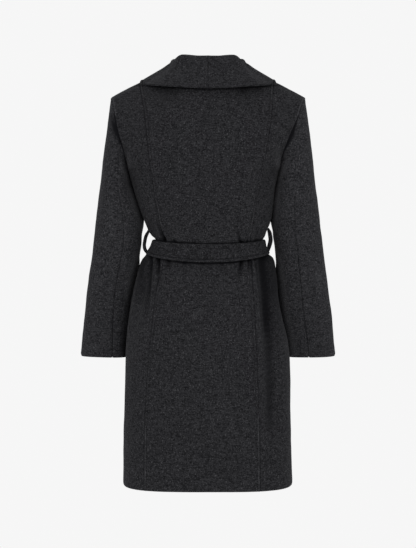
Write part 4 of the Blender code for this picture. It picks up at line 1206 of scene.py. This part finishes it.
def armhole(side):
    """The armhole's points from the shoulder tip down the back and up the front again, with the
    angle round the sleeve, the outward direction and the way on into the sleeve at each."""
    down = ARMHOLE_LEVELS[::-1]
    half = len(down) - 1
    places = [(False, level) for level in down] + [(True, level) for level in down[-2::-1]]
    points = [coat_point(side, front, 1.0, level) for front, level in places]
    normals = [coat_normal(side, front, 1.0, level) for front, level in places]
    normals[0] = normals[-1] = (normals[0] + normals[-1]).normalized()
    normals[half] = Vector((side, 0.0, 0.0))
    lengths = lengths_along(np.array(points))
    last = len(points) - 1
    angles = np.interp(lengths, (0.0, lengths[half], lengths[last]), (0.0, 180.0, 360.0))
    rows = []
    for k, (angle, point, normal) in enumerate(zip(angles, points, normals)):
        before = points[k - 1] if k else points[last - 1]
        after = points[k + 1] if k < last else points[1]
        way = normal.cross(after - before) * side
        rows.append((angle, point, normal, way.normalized()))
    return rows


def armhole_at(rows, angle):
    """The armhole's point and directions at any angle round the sleeve."""
    angle %= 360.0
    k = next(i for i in range(len(rows) - 1) if angle <= rows[i + 1][0])
    part = (angle - rows[k][0]) / (rows[k + 1][0] - rows[k][0])
    point, normal, way = (a.lerp(b, part) for a, b in zip(rows[k][1:], rows[k + 1][1:]))
    return point, normal.normalized(), way.normalized()


def sleeve_ring_point(side, place, angle):
    """A point of the arm's ring at this place, 0 under the armhole and 1 at the cuff."""
    outer_x, inner_x, y, height, half_depth, lift = (
        read(SLEEVE_AT, place, column) for column in range(1, 7)
    )
    inner_x += side * read(RINGS, height, 2)
    c, s = cos(angle * pi / 180), sin(angle * pi / 180)
    size = box_reach(c, s, INSIDE_BACK_SQUARENESS if c < 0 < s else SLEEVE_SQUARENESS)
    x = (outer_x + inner_x) / 2 + (outer_x - inner_x) / 2 * size * c
    return Vector((side * x, y - half_depth * size * s, height + lift * c))


def sleeve_point(side, rows, angle, place):
    """A point of the sleeve's outer face, at a place down it and an angle round it that starts
    at the shoulder tip and goes down the back first."""
    if place >= 0:
        return sleeve_ring_point(side, place, angle)
    part = place + 1
    edge, normal, way = armhole_at(rows, angle)
    upward = cos(angle * pi / 180)
    over, under = max(0.0, upward), max(0.0, -upward)
    tuck = SLEEVE_TUCK * (1 - TIP_UNTUCKED * ease((upward - TIP_FROM) / TIP_FADE))
    start = edge - way * tuck - normal * tuck * TUCK_SINK
    target = sleeve_ring_point(side, 0.0, angle)
    span = (target - start).length
    more = (UNDERARM_REACH - SLEEVE_HEAD_REACH) * ease(under * UNDERARM_QUICKNESS)
    reach = min(span * LONGEST_REACH, SLEEVE_HEAD_REACH + more)
    reach *= (1 - under) * (1 - TIP_REACH_LOST * over)
    leave = way * (reach + UNDERARM_PUSH * under) - Vector((0.0, 0.0, SLEEVE_HEAD_DROOP * over))
    x, y, z = ARM_DIRECTION
    arrive = Vector((side * x, y, z)).normalized() * span * ARM_PULL * (1 + under)
    point = smooth_curve(part, start, target, leave, arrive)
    roll = UNDERARM_ROLL * under * under * sin(pi * part) ** ROLL_POWER
    return point + Vector((side * roll, 0.0, 0.0))


SURFACE_COLUMNS = 30


def coat_tree():
    """The coat's outer face, as a surface to lay sleeves and collar against."""
    points, faces = [], []
    columns = SURFACE_COLUMNS
    for side in (-1, 1):
        for front in (False, True):
            start = len(points)
            for level in BODY_LEVELS:
                for j in range(columns + 1):
                    points.append(coat_point(side, front, j / columns, level))
            for i in range(len(BODY_LEVELS) - 1):
                for j in range(columns):
                    a = start + i * (columns + 1) + j
                    quad = (a, a + 1, a + columns + 2, a + columns + 1)
                    faces.append(quad if (side > 0) != front else quad[::-1])
    return BVHTree.FromPolygons(points, faces)


def lay_on(tree, point, clearance):
    """Moves a point that is nearer to the coat than the clearance out to it."""
    spot, normal, _, _ = tree.find_nearest(point)
    off = (point - spot).dot(normal)
    aside = (point - spot - normal * off).length
    if off < clearance and aside < LAY_REACH:
        return point + normal * (clearance - off)
    return point


def pressed_in(side, point, angle, share):
    """The inside of the sleeve hangs against the coat's side, a little towards its front."""
    amount = share * read(SLEEVE_PRESS, point.z, 1 if side < 0 else 2)
    amount *= fading(angle % 360.0, PRESS_ANGLE, PRESS_WIDTH)
    point = point - Vector((side * amount, 0.0, 0.0))
    return lay_on(coat_surface, point, SLEEVE_CLEARANCE * share)


def sleeve_grid(side, under):
    """Points of the upper or the under sleeve, from the armhole down and from seam to seam."""
    rows = armhole(side)
    hind_top, hind_cuff = HIND_SEAM[side]
    lap = SEAM_LAP / 2 / SLEEVE_GIRTH * 360.0
    grid = []
    for place in SLEEVE_PLACES:
        hind = hind_top + (hind_cuff - hind_top) * max(place, 0.0)
        start, end = FORE_SEAM - 360.0 - lap, hind + lap
        if under:
            start, end = hind - lap, FORE_SEAM + lap
        angles = np.linspace(start, end, SLEEVE_COLUMNS + 1)
        ring = [sleeve_point(side, rows, angle, place) for angle in angles]
        share = ease((place + 1) / PRESS_STARTS_BY)
        ring = [pressed_in(side, point, angle, share) for point, angle in zip(ring, angles)]
        grid.append(ring)
    return np.array(grid)


coat_surface = coat_tree()
SLEEVE_PAINTED_LIGHT = 1.22  # painted light: the sleeves' wool is made a little paler than the body's
sleeve_wool = wool("sleeve_wool", BODY_GRAIN, SLEEVE_PAINTED_LIGHT)
SLEEVE_PIECES = (
    # name, whether it is the under sleeve, cut width, length and area
    ("upper", False, (0.240, 0.620, 0.125)),
    ("under", True, (0.190, 0.480, 0.078)),
)
for side, word in ((1, "right"), (-1, "left")):
    for part, under, cut in SLEEVE_PIECES:
        node = "sleeve_" + part + "_" + word
        piece = Cloth(node + "_cloth", sleeve_grid(side, under), side)
        piece.crease(SLEEVE_CREASES)
        piece.paint_light_and_shade(SLEEVE_PAINTED_LIGHT_AND_SHADE)
        piece.wander()
        head = fading(piece.below, SLEEVE_HEAD_PLACE, SLEEVE_HEAD_WIDTH)
        piece.move_out(SLEEVE_HEAD_FULLNESS * head)
        piece.shade_near(coat_surface)
        depth = np.interp(piece.points[..., 2], *zip(*SLEEVE_SEAMS))
        piece.seam(piece.left, strength=depth)
        piece.seam(piece.right, strength=depth)
        piece.seam(piece.below, strength=ARMHOLE_SEAM)
        # Painted shade on the sleeve along the armhole
        heights, *columns = zip(*ARMHOLE_SHADES)
        shade, width = (np.interp(piece.points[..., 2], heights, column) for column in columns)
        piece.painted_shading += shade * fading(piece.below, 0.0, width)
        piece.soften(piece.above, *CUFF_ROUND)
        finish_cloth(piece.shell(), sleeve_wool, node)


# ---------------------------------------------------------------- the shawl collar
# Two layers of the wool with a centre back seam, rolled over at the neck so that the fall lies
# on the shoulders, and running on into the lapels down both front edges without a notch.

DOUBLE_CLOTH = 0.0044
COLLAR_STATIONS = (
    # angle, stand, turn, clear, fullness, edge_x, edge_y, edge_z
    (0.0, 0.0327, 0.0080, 0.0034, 0.003, 0.000, -0.112, -0.0520),
    (18.0, 0.0310, 0.0080, 0.0034, 0.003, 0.034, -0.110, -0.0510),
    (36.0, 0.0285, 0.0080, 0.0034, 0.005, 0.074, -0.099, -0.0480),
    (46.0, 0.0262, 0.0080, 0.0033, 0.007, 0.096, -0.088, -0.0460),
    (54.0, 0.0228, 0.0078, 0.0032, 0.009, 0.116, -0.076, -0.0440),
    (72.0, 0.0082, 0.0074, 0.0030, 0.011, 0.140, -0.040, -0.0400),
    (90.0, 0.0100, 0.0070, 0.0029, 0.011, 0.150, 0.002, -0.0400),
)
LAPEL_STATIONS = (
    # down (0 at the shoulder, 1 at its end), stand, turn, clear, width, drop of the outer edge
    (0.08, 0.0090, 0.0065, 0.0080, 0.103, 0.050),
    (0.20, 0.0060, 0.0060, 0.0070, 0.110, 0.050),
    (0.36, 0.0030, 0.0055, 0.0050, 0.116, 0.040),
    (0.54, 0.0020, 0.0050, 0.0042, 0.112, 0.026),
    (0.72, 0.0020, 0.0048, 0.0038, 0.090, 0.012),
    (0.87, 0.0020, 0.0046, 0.0038, 0.054, 0.004),
    (0.97, 0.0020, 0.0044, 0.0038, 0.020, 0.000),
)
LAPEL_FULLNESS = 0.006
LAPEL_EDGE_SHADE = 0.0050
LAPEL_EDGE_WIDTH = 0.0018
LAPEL_FADE = 0.02
COLLAR_EDGE_ROUND = (0.0014, 0.0024)  # depth and width
COLLAR_UNEVENNESS = 0.5
CENTRE_SEAM = 0.2
STAND_LEAN = 0.10
STAND_INSIDE = 0.0038
STAND_FOOT = 0.0008
ROLL_ANGLES = (0.25 * pi, 0.5 * pi, 0.75 * pi)
FALL_POINTS = 5
FALL_PULL = 0.33  # share of the fall's length that sets how it curves at both ends
FALL_STEEPNESS = 0.8
FULLNESS_POWER = 1.3
LAPEL_INWARD = 0.35  # how much the lapel's roll also points up
SHOULDER_PART = 0.3
SHOULDER_LIFT = 1.2
LAPEL_GAP = 0.0016
LAPEL_SINK = 0.0010
IN_FRONT = Vector((0.0, 0.02, 0.0))
COLLAR_LAP = 0.0002
LAPEL_END_LEFT = -0.262
LAPEL_END_RIGHT = -0.368
LINES_BETWEEN_STATIONS = 5
COLLAR_CREASES = (
    # laid out as BACK_CREASES is
    ((-0.060, 0.020), (-0.072, -0.004), (-0.104, -0.028), 0.0110, 0.0, 0.0016, 0.0),
    ((0.062, 0.006), (0.078, -0.006), (0.108, -0.028), 0.0120, 0.0, 0.0018, 0.0),
    ((-0.020, 0.024), (-0.030, -0.006), (-0.034, -0.036), 0.0130, 0.0, 0.0010, 0.0),
    ((0.016, 0.024), (0.026, -0.004), (0.044, -0.034), 0.0120, 0.0, 0.0010, 0.0),
)


def collar_line(seam, rise, out, stand, turn, clear, fullness, edge):
    """The middle of the collar's cloth at one station, from its seam to its outer edge."""
    top = seam + rise * stand
    line = [seam, seam + rise * stand * 0.5, top]
    centre = top + out * turn
    for angle in ROLL_ANGLES:
        line.append(centre - out * turn * cos(angle) + rise * turn * sin(angle))
    start = centre + out * turn
    line.append(start)
    pull = (edge - start).length * FALL_PULL
    steep, flat = start - rise * pull * FALL_STEEPNESS, edge + (start - edge).normalized() * pull
    for k in range(1, FALL_POINTS + 1):
        part = k / FALL_POINTS
        left = 1 - part
        point = start * left**3 + steep * 3 * part * left**2
        point += flat * 3 * part**2 * left + edge * part**3
        line.append(lay_on(coat_surface, point, clear + fullness * left**FULLNESS_POWER))
    return line


def collar_lines(side):
    """Lines of points across the collar, from the centre back down to the lapel's end."""
    lines = []
    for angle, stand, turn, clear, fullness, edge_x, edge_y, edge_z in COLLAR_STATIONS:
        a = angle * pi / 180
        seam = Vector((side * NECK_HALF_WIDTH * sin(a), -BACK_NECK_DEPTH * cos(a), 0.0))
        seam.z = -BACK_NECK_DROP * cos(a) ** 2 + STAND_FOOT
        out = Vector((side * sin(a), -cos(a), 0.0)).normalized()
        rise = (Vector((0.0, 0.0, 1.0)) - out * STAND_LEAN).normalized()
        edge = Vector((side * edge_x, edge_y, edge_z))
        seam -= out * STAND_INSIDE
        lines.append(collar_line(seam, rise, out, stand, turn, clear, fullness, edge))
    end = LAPEL_END_RIGHT if side > 0 else LAPEL_END_LEFT
    for down, stand, turn, clear, width, drop in LAPEL_STATIONS:
        height = end * down
        level = height if height < UNDERARM_HEIGHT else 1 - height / UNDERARM_HEIGHT
        place = front_inner_edge(side, level)
        own = side if place >= 0 else -side
        on_coat = coat_point(own, True, abs(place), level)
        normal = coat_normal(own, True, abs(place), level)
        inward = Vector((-side, 0.0, LAPEL_INWARD))
        inward = (inward - normal * inward.dot(normal)).normalized()
        lift = SHOULDER_LIFT * (1 - ease(down / SHOULDER_PART))
        rise = (inward + Vector((0.0, 0.0, lift))).normalized()
        out = (normal - rise * normal.dot(rise)).normalized()
        seam = on_coat + rise * (LAPEL_GAP + DOUBLE_CLOTH / 2) - normal * LAPEL_SINK
        edge = on_coat + Vector((side * width, 0.0, -drop))
        spot, spot_normal, _, _ = coat_surface.find_nearest(edge + IN_FRONT)
        edge = spot + spot_normal * clear
        lines.append(collar_line(seam, rise, out, stand, turn, clear, LAPEL_FULLNESS, edge))
    return lines


COLLAR_GRAIN = (0.80, 0.80, 0.90)
# Painted light: the collar's wool is made a little paler than the body's
COLLAR_PAINTED_LIGHT = 1.04
collar_wool = wool("collar_wool", COLLAR_GRAIN, COLLAR_PAINTED_LIGHT)
for side, node in ((1, "collar_right"), (-1, "collar_left")):
    stations = np.array(collar_lines(side))
    count = len(stations)
    between = np.linspace(0, count - 1, (count - 1) * LINES_BETWEEN_STATIONS + 1)
    middle = spline(stations, np.arange(count, dtype=float), between)
    middle[0, :, 0] = -side * COLLAR_LAP
    collar = Cloth(node + "_cloth", middle, -side)
    collar.move_out(np.full(collar.left.shape, DOUBLE_CLOTH / 2))
    collar.points[0, :, 0] = -side * COLLAR_LAP
    collar.crease(COLLAR_CREASES)
    collar.wander(COLLAR_UNEVENNESS)
    collar.seam(collar.below, strength=CENTRE_SEAM)
    collar.soften(collar.right, *COLLAR_EDGE_ROUND)
    # Painted shade along the lapel's outer edge, on the front only
    on_front = np.clip(collar.points[..., 1] / LAPEL_FADE, 0.0, 1.0)
    collar.painted_shading += LAPEL_EDGE_SHADE * on_front * fading(collar.right, 0.0, LAPEL_EDGE_WIDTH)
    collar.points[0, :, 0] = -side * COLLAR_LAP
    finish_cloth(collar.shell(DOUBLE_CLOTH), collar_wool, node)


# ---------------------------------------------------------------- the belt
# A tie belt of the same wool: a strip folded along its top, joined and edge-stitched along its
# bottom, and pulled tight round the waist. It is knotted once at the front, and its two ends
# hang from the knot.

BELT_LIFT = 0.0016
BELT_MIDDLE_BACK = -0.4185
BELT_HALF_WIDTH = 0.0205
BELT_NARROWING = 0.0060
BELT_SECTIONS = 240
BELT_FACE = (
    # share of the half width, from the bottom edge up, and how thick the belt is there
    (-1.000, 0.0014), (-0.985, 0.0026), (-0.945, 0.0038), (-0.880, 0.0046), (-0.780, 0.0047),
    (-0.715, 0.0044), (-0.690, 0.0036), (-0.665, 0.0033), (-0.640, 0.0036), (-0.615, 0.0044),
    (-0.540, 0.0048), (-0.400, 0.0050), (-0.200, 0.0050), (0.000, 0.0049), (0.200, 0.0050),
    (0.400, 0.0051), (0.600, 0.0051), (0.780, 0.0049), (0.900, 0.0044), (0.965, 0.0036),
    (1.000, 0.0018),
)
BELT_STITCH_SHARE = -0.665
BELT_PAINTED_SHADING = (
    # share of the half width, how much shade is painted there (below 0, painted highlight), and how
    # wide
    (BELT_STITCH_SHARE, 0.0064, 0.045),
    (-0.86, -0.0012, 0.09),
    (-1.0, 0.0040, 0.035),
    (1.0, 0.0040, 0.035),
)
BELT_BACK_SHARES = (0.97, 0.6, 0.2, -0.2, -0.6, -0.97)
BELT_RIPPLES = ((0.030, 0.0010), (0.012, 0.0004))
BELT_GRAIN = (0.95, 0.95, 0.85)
# Painted shade: the belt's wool is made a little darker than the body's
BELT_PAINTED_SHADE = 0.93
belt_wool = wool("belt_wool", BELT_GRAIN, BELT_PAINTED_SHADE)


def around_body(angle, height):
    """A point of the coat at this angle from the centre back, + to the wearer's right."""
    side = 1 if sin(angle) >= 0 else -1
    turn = angle % tau
    if turn > pi:
        turn = tau - turn
    front = turn > pi / 2
    around = turn / (pi / 2)
    if front:
        around = 2 - around
    return coat_point(side, front, around, height), coat_normal(side, front, around, height)


def rippled(point, out, ripples, strength=1.0):
    """Moves a point out or in by the cloth's small ripples."""
    amount = sum(height * noise.noise(point / spacing) for spacing, height in ripples)
    return point + out * amount * strength


def under_belt(angle, share):
    """The coat under this share of the belt's half width, and level out from it."""
    half = BELT_HALF_WIDTH - BELT_NARROWING * sin(angle) ** 2
    point, normal = around_body(angle, BELT_MIDDLE_BACK + half * share)
    return point, Vector((normal.x, normal.y, 0.0)).normalized()


def belt_ring(angle):
    """Points round the belt's cloth at this angle: up its face, and down its back."""
    ring = []
    for share, thick in BELT_FACE:
        point, out = under_belt(angle, share)
        ring.append(rippled(point + out * (BELT_LIFT + thick), out, BELT_RIPPLES))
    for share in BELT_BACK_SHARES:
        point, out = under_belt(angle, share)
        ring.append(point + out * BELT_LIFT)
    return ring


def edge_shade_paint(share):
    """The belt's painted shade along its stitching and its two edges, and painted highlight beside the
    stitching.
    """
    return sum(amount * fading(share, place, width) for place, amount, width in BELT_PAINTED_SHADING)


TUBE_SHARP_ANGLE = 1.3


def tube(name, rings, joined, shade_paint=()):
    """A closed piece from rings of points that follow each other round, or end in caps."""
    count, around = len(rings), len(rings[0])
    points = [point for ring in rings for point in ring]
    faces = []
    for i in range(count if joined else count - 1):
        k = (i + 1) % count
        for j in range(around):
            m = (j + 1) % around
            faces.append((i * around + j, i * around + m, k * around + m, k * around + j))
    if not joined:
        for i, first, flip in ((0, len(points), True), (count - 1, len(points) + 1, False)):
            points.append(sum(rings[i], Vector()) / around)
            for j in range(around):
                one, two = i * around + j, i * around + (j + 1) % around
                faces.append((two, one, first) if flip else (one, two, first))
    volume = sum(points[a].dot(points[b].cross(points[c])) for a, b, c, *_ in faces)
    if volume < 0:
        faces = [face[:1] + face[:0:-1] for face in faces]
    values = [value for ring in shade_paint for value in ring]
    values += [0.0] * (len(points) - len(values))
    return new_piece(name, points, faces, values, TUBE_SHARP_ANGLE)


belt_rings = [belt_ring(tau * k / BELT_SECTIONS) for k in range(BELT_SECTIONS)]
belt_shares = [share for share, thick in BELT_FACE] + list(BELT_BACK_SHARES)
belt_shade_paint = [edge_shade_paint(share) for share in belt_shares]
belt = tube("belt_waist_cloth", belt_rings, True, [belt_shade_paint] * BELT_SECTIONS)
finish_cloth(belt, belt_wool, "belt_waist")
groove = belt_shares.index(BELT_STITCH_SHARE)
groove_line = np.array([ring[groove] for ring in belt_rings])
groove_out = np.array([ring[groove] - ring[-1] for ring in belt_rings])

KNOT_X = -0.030
KNOT_HEIGHT = -0.4205
KNOT_HALF = (0.027, 0.014, 0.029)
KNOT_CLEARANCE = 0.0010
KNOT_NEAR_SIDE = 0.8
KNOT_FOOT_SHARE = 0.953  # of its half height; the belt's ends come out just above its lowest point
KNOT_FOOT = KNOT_HEIGHT - KNOT_HALF[2] * KNOT_FOOT_SHARE
KNOT_RINGS, KNOT_COLUMNS = 40, 72
KNOT_BLUNTNESS = 0.42  # the smaller, the boxier from the front
KNOT_CAP = 0.8
KNOT_TAPER = 0.12
KNOT_SQUARENESS = 2.6
KNOT_SLANT = (0.9, 0.55)  # how the wraps' edges lean, across and up
KNOT_WRAPS = (
    # how far across the knot each layer's edge lies, and how high it stands over the next one
    (-0.62, 0.0030),
    (0.02, 0.0044),
    (0.60, 0.0032),
)
WRAP_RISE = 0.10
WRAP_FALL = 0.55
KNOT_CREASE_SHADE = 0.0090
KNOT_CREASE_PLACE = 0.03
KNOT_CREASE_WIDTH = 0.07


def front_surface(x, height):
    """The outermost point of the fronts at this place."""
    side = 1 if x >= 0 else -1
    return coat_point(side, True, around_for(side, True, abs(x), height), height)


def behind_knot(height):
    """How far forward the belt, or the skirt under it, stands behind the knot."""
    belt_foot = BELT_MIDDLE_BACK - BELT_HALF_WIDTH
    nearest = KNOT_X + KNOT_HALF[0] * KNOT_NEAR_SIDE
    belt_face = front_surface(nearest, max(height, belt_foot)).y + BELT_LIFT + DOUBLE_CLOTH
    return max(belt_face, front_surface(nearest, height).y) + KNOT_CLEARANCE


def knot_ring(tilt):
    """Points round the knot at one height, and the shade painted at each along the wraps' edges."""
    half_x, half_y, half_z = KNOT_HALF
    size = cos(tilt) ** KNOT_BLUNTNESS
    height = KNOT_HEIGHT + half_z * (1 if tilt > 0 else -1) * abs(sin(tilt)) ** KNOT_CAP
    half_x *= size * (1 - KNOT_TAPER * sin(tilt))
    middle_y = behind_knot(height) + half_y * size
    ring, shade_paint = [], []
    for j in range(KNOT_COLUMNS):
        turn = tau * j / KNOT_COLUMNS
        c, s = cos(turn), sin(turn)
        box = box_reach(c, s, KNOT_SQUARENESS)
        slant = c * KNOT_SLANT[0] + sin(tilt) * KNOT_SLANT[1]
        layer = shade = 0.0
        for edge, high in KNOT_WRAPS:
            past = slant - edge
            layer -= high * ease(past / WRAP_RISE + 0.5) * (1 - ease(past / WRAP_FALL))
            # painted shade along each wrap's edge
            shade += KNOT_CREASE_SHADE * fading(past, KNOT_CREASE_PLACE, KNOT_CREASE_WIDTH)
        layer *= max(s, 0.0) ** 0.5 * size
        out = Vector((c, s, 0.0))
        point = Vector((KNOT_X + half_x * box * c, middle_y + half_y * size * box * s, height))
        ring.append(rippled(point + out * layer, out, BELT_RIPPLES, max(s, 0.0)))
        shade_paint.append(shade)
    return ring, shade_paint


tilts = np.linspace(-pi / 2, pi / 2, KNOT_RINGS + 2)[1:-1]
knot_rings, knot_shade_paint = zip(*[knot_ring(tilt) for tilt in tilts])
knot = tube("belt_knot_cloth", knot_rings, False, knot_shade_paint)
finish_cloth(knot, belt_wool, "belt_knot")

END_TUCK = 0.0060  # how far the ends go up into the knot
BELT_END_RIGHT = (
    # height, x, width, off the skirt
    (KNOT_FOOT + END_TUCK, -0.0215, 0.016, 0.0075),
    (-0.500, -0.008, 0.034, 0.0030),
    (-0.580, 0.004, 0.040, 0.0016),
    (-0.680, 0.010, 0.042, 0.0022),
    (-0.790, 0.008, 0.042, 0.0016),
)
BELT_END_LEFT = (
    # height, x, width, off the skirt
    (KNOT_FOOT + END_TUCK, -0.0385, 0.016, 0.0075),
    (-0.500, -0.054, 0.032, 0.0030),
    (-0.580, -0.064, 0.040, 0.0016),
    (-0.660, -0.072, 0.042, 0.0022),
    (-0.735, -0.074, 0.042, 0.0016),
)
BELT_END_SECTIONS = 90
END_SHARES = (-1.0, -0.985, -0.94, -0.88, -0.78, -0.70, BELT_STITCH_SHARE, -0.63, -0.54, -0.35)
END_SHARES += (-0.1, 0.15, 0.4, 0.63, 0.80, 0.90, 0.96, 0.99, 1.0)
END_FACING_STEP = 0.02
END_SQUARENESS = 14
END_ROUND = 0.5
END_ROUND_WIDTH = 0.0012
END_GROOVE = 0.0007
END_GROOVE_WIDTH = 0.04
END_RIPPLE = 0.7


def belt_end_rings(line):
    """Points round a hanging end's cloth, from the knot down: across its face, and back."""
    rings = []
    top, bottom = line[0][0], line[-1][0]
    out = Vector((0.0, 1.0, 0.0))
    for k in range(BELT_END_SECTIONS + 1):
        height = top + (bottom - top) * k / BELT_END_SECTIONS
        x, width, off = (read(line, height, column) for column in (1, 2, 3))
        left, right = (front_surface(x + step, height) for step in (-END_FACING_STEP, END_FACING_STEP))
        wide = (right - left).normalized() * width / 2
        from_end = min(height - bottom, top - height)
        rounding = 1 - END_ROUND * fading(from_end, 0.0, END_ROUND_WIDTH)
        middle = Vector((x, front_surface(x, height).y + DOUBLE_CLOTH / 2 + off, height))
        ring = []
        for number, share in enumerate(END_SHARES + END_SHARES[-2:0:-1]):
            thick = DOUBLE_CLOTH / 2 * sqrt(max(1 - abs(share) ** END_SQUARENESS, 0.0)) * rounding
            if number >= len(END_SHARES):
                ring.append(middle + wide * share - out * thick)
                continue
            thick -= END_GROOVE * fading(share, BELT_STITCH_SHARE, END_GROOVE_WIDTH)
            point = middle + wide * share + out * thick
            ring.append(rippled(point, out, BELT_RIPPLES, END_RIPPLE * (1 - share * share)))
        rings.append(ring)
    return rings


BELT_ENDS = (
    ("belt_end_right", BELT_END_RIGHT, (0.041, 0.350, 0.0130)),
    ("belt_end_left", BELT_END_LEFT, (0.041, 0.290, 0.0105)),
)
end_groove = END_SHARES.index(BELT_STITCH_SHARE)
end_shade_paint = [edge_shade_paint(share) for share in END_SHARES + END_SHARES[-2:0:-1]]
belt_stitches = [(groove_line, groove_out)]
for node, line, cut in BELT_ENDS:
    rings = belt_end_rings(line)
    end = tube(node + "_cloth", rings, False, [end_shade_paint] * len(rings))
    finish_cloth(end, belt_wool, node)
    path = np.array([ring[end_groove] for ring in rings])
    belt_stitches.append((path, np.tile((0.0, 1.0, 0.0), (len(path), 1))))
stitching("belt_edge_stitching", belt_stitches)


# ---------------------------------------------------------------- the belt carriers
# A narrow tube of the wool on each side seam, turned right side out, sewn to the coat above and
# below the belt and left slack, so that it stands out from the waist.

CARRIER_WIDTH = 0.010
CARRIER_COLUMNS = 20
CARRIER_LEFT = (
    # out from the coat's middle, height, thickness: down from its upper end
    (0.1362, -0.3700, 0.0050),
    (0.1375, -0.3745, 0.0064),
    (0.1404, -0.3795, 0.0076),
    (0.1432, -0.3860, 0.0080),
    (0.1450, -0.3940, 0.0080),
    (0.1466, -0.4045, 0.0080),
    (0.1452, -0.4140, 0.0080),
    (0.1410, -0.4210, 0.0072),
    (0.1376, -0.4260, 0.0056),
)
CARRIER_RIGHT = (
    # the same on the right side
    (0.1375, -0.3660, 0.0050),
    (0.1394, -0.3705, 0.0072),
    (0.1414, -0.3755, 0.0090),
    (0.1430, -0.3830, 0.0098),
    (0.1440, -0.3933, 0.0100),
    (0.1416, -0.4050, 0.0098),
    (0.1388, -0.4145, 0.0086),
    (0.1372, -0.4215, 0.0060),
)
CARRIER_SECTIONS = 56


def carrier_rings(side, line):
    """Points round the carrier's tube, from its upper end down."""
    out, height, thick = np.array(line).T
    middle = np.stack([side * out, 0 * out, height], axis=1)
    places = lengths_along(middle)
    where = np.linspace(0.0, places[-1], CARRIER_SECTIONS + 1)
    thick = spline(thick, places, where)
    path = [Vector(point) for point in spline(middle, places, where)]
    turns = [tau * j / CARRIER_COLUMNS for j in range(CARRIER_COLUMNS)]
    wide = Vector((0.0, CARRIER_WIDTH / 2, 0.0))
    rings = []
    for i, point in enumerate(path):
        along = (path[min(i + 1, CARRIER_SECTIONS)] - path[max(i - 1, 0)]).normalized()
        deep = along.cross(wide).normalized() * thick[i] / 2
        rings.append([point + wide * cos(turn) + deep * sin(turn) for turn in turns])
    return rings


CARRIERS = (("belt_carrier_right", 1, CARRIER_RIGHT), ("belt_carrier_left", -1, CARRIER_LEFT))
for node, side, line in CARRIERS:
    loop = tube(node + "_cloth", carrier_rings(side, line), False)
    finish_cloth(loop, coat_wool, node)


boxes = {"cad": cad_box, "visual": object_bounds()}
boxes = {name: [list(corner) for corner in box] for name, box in boxes.items()}
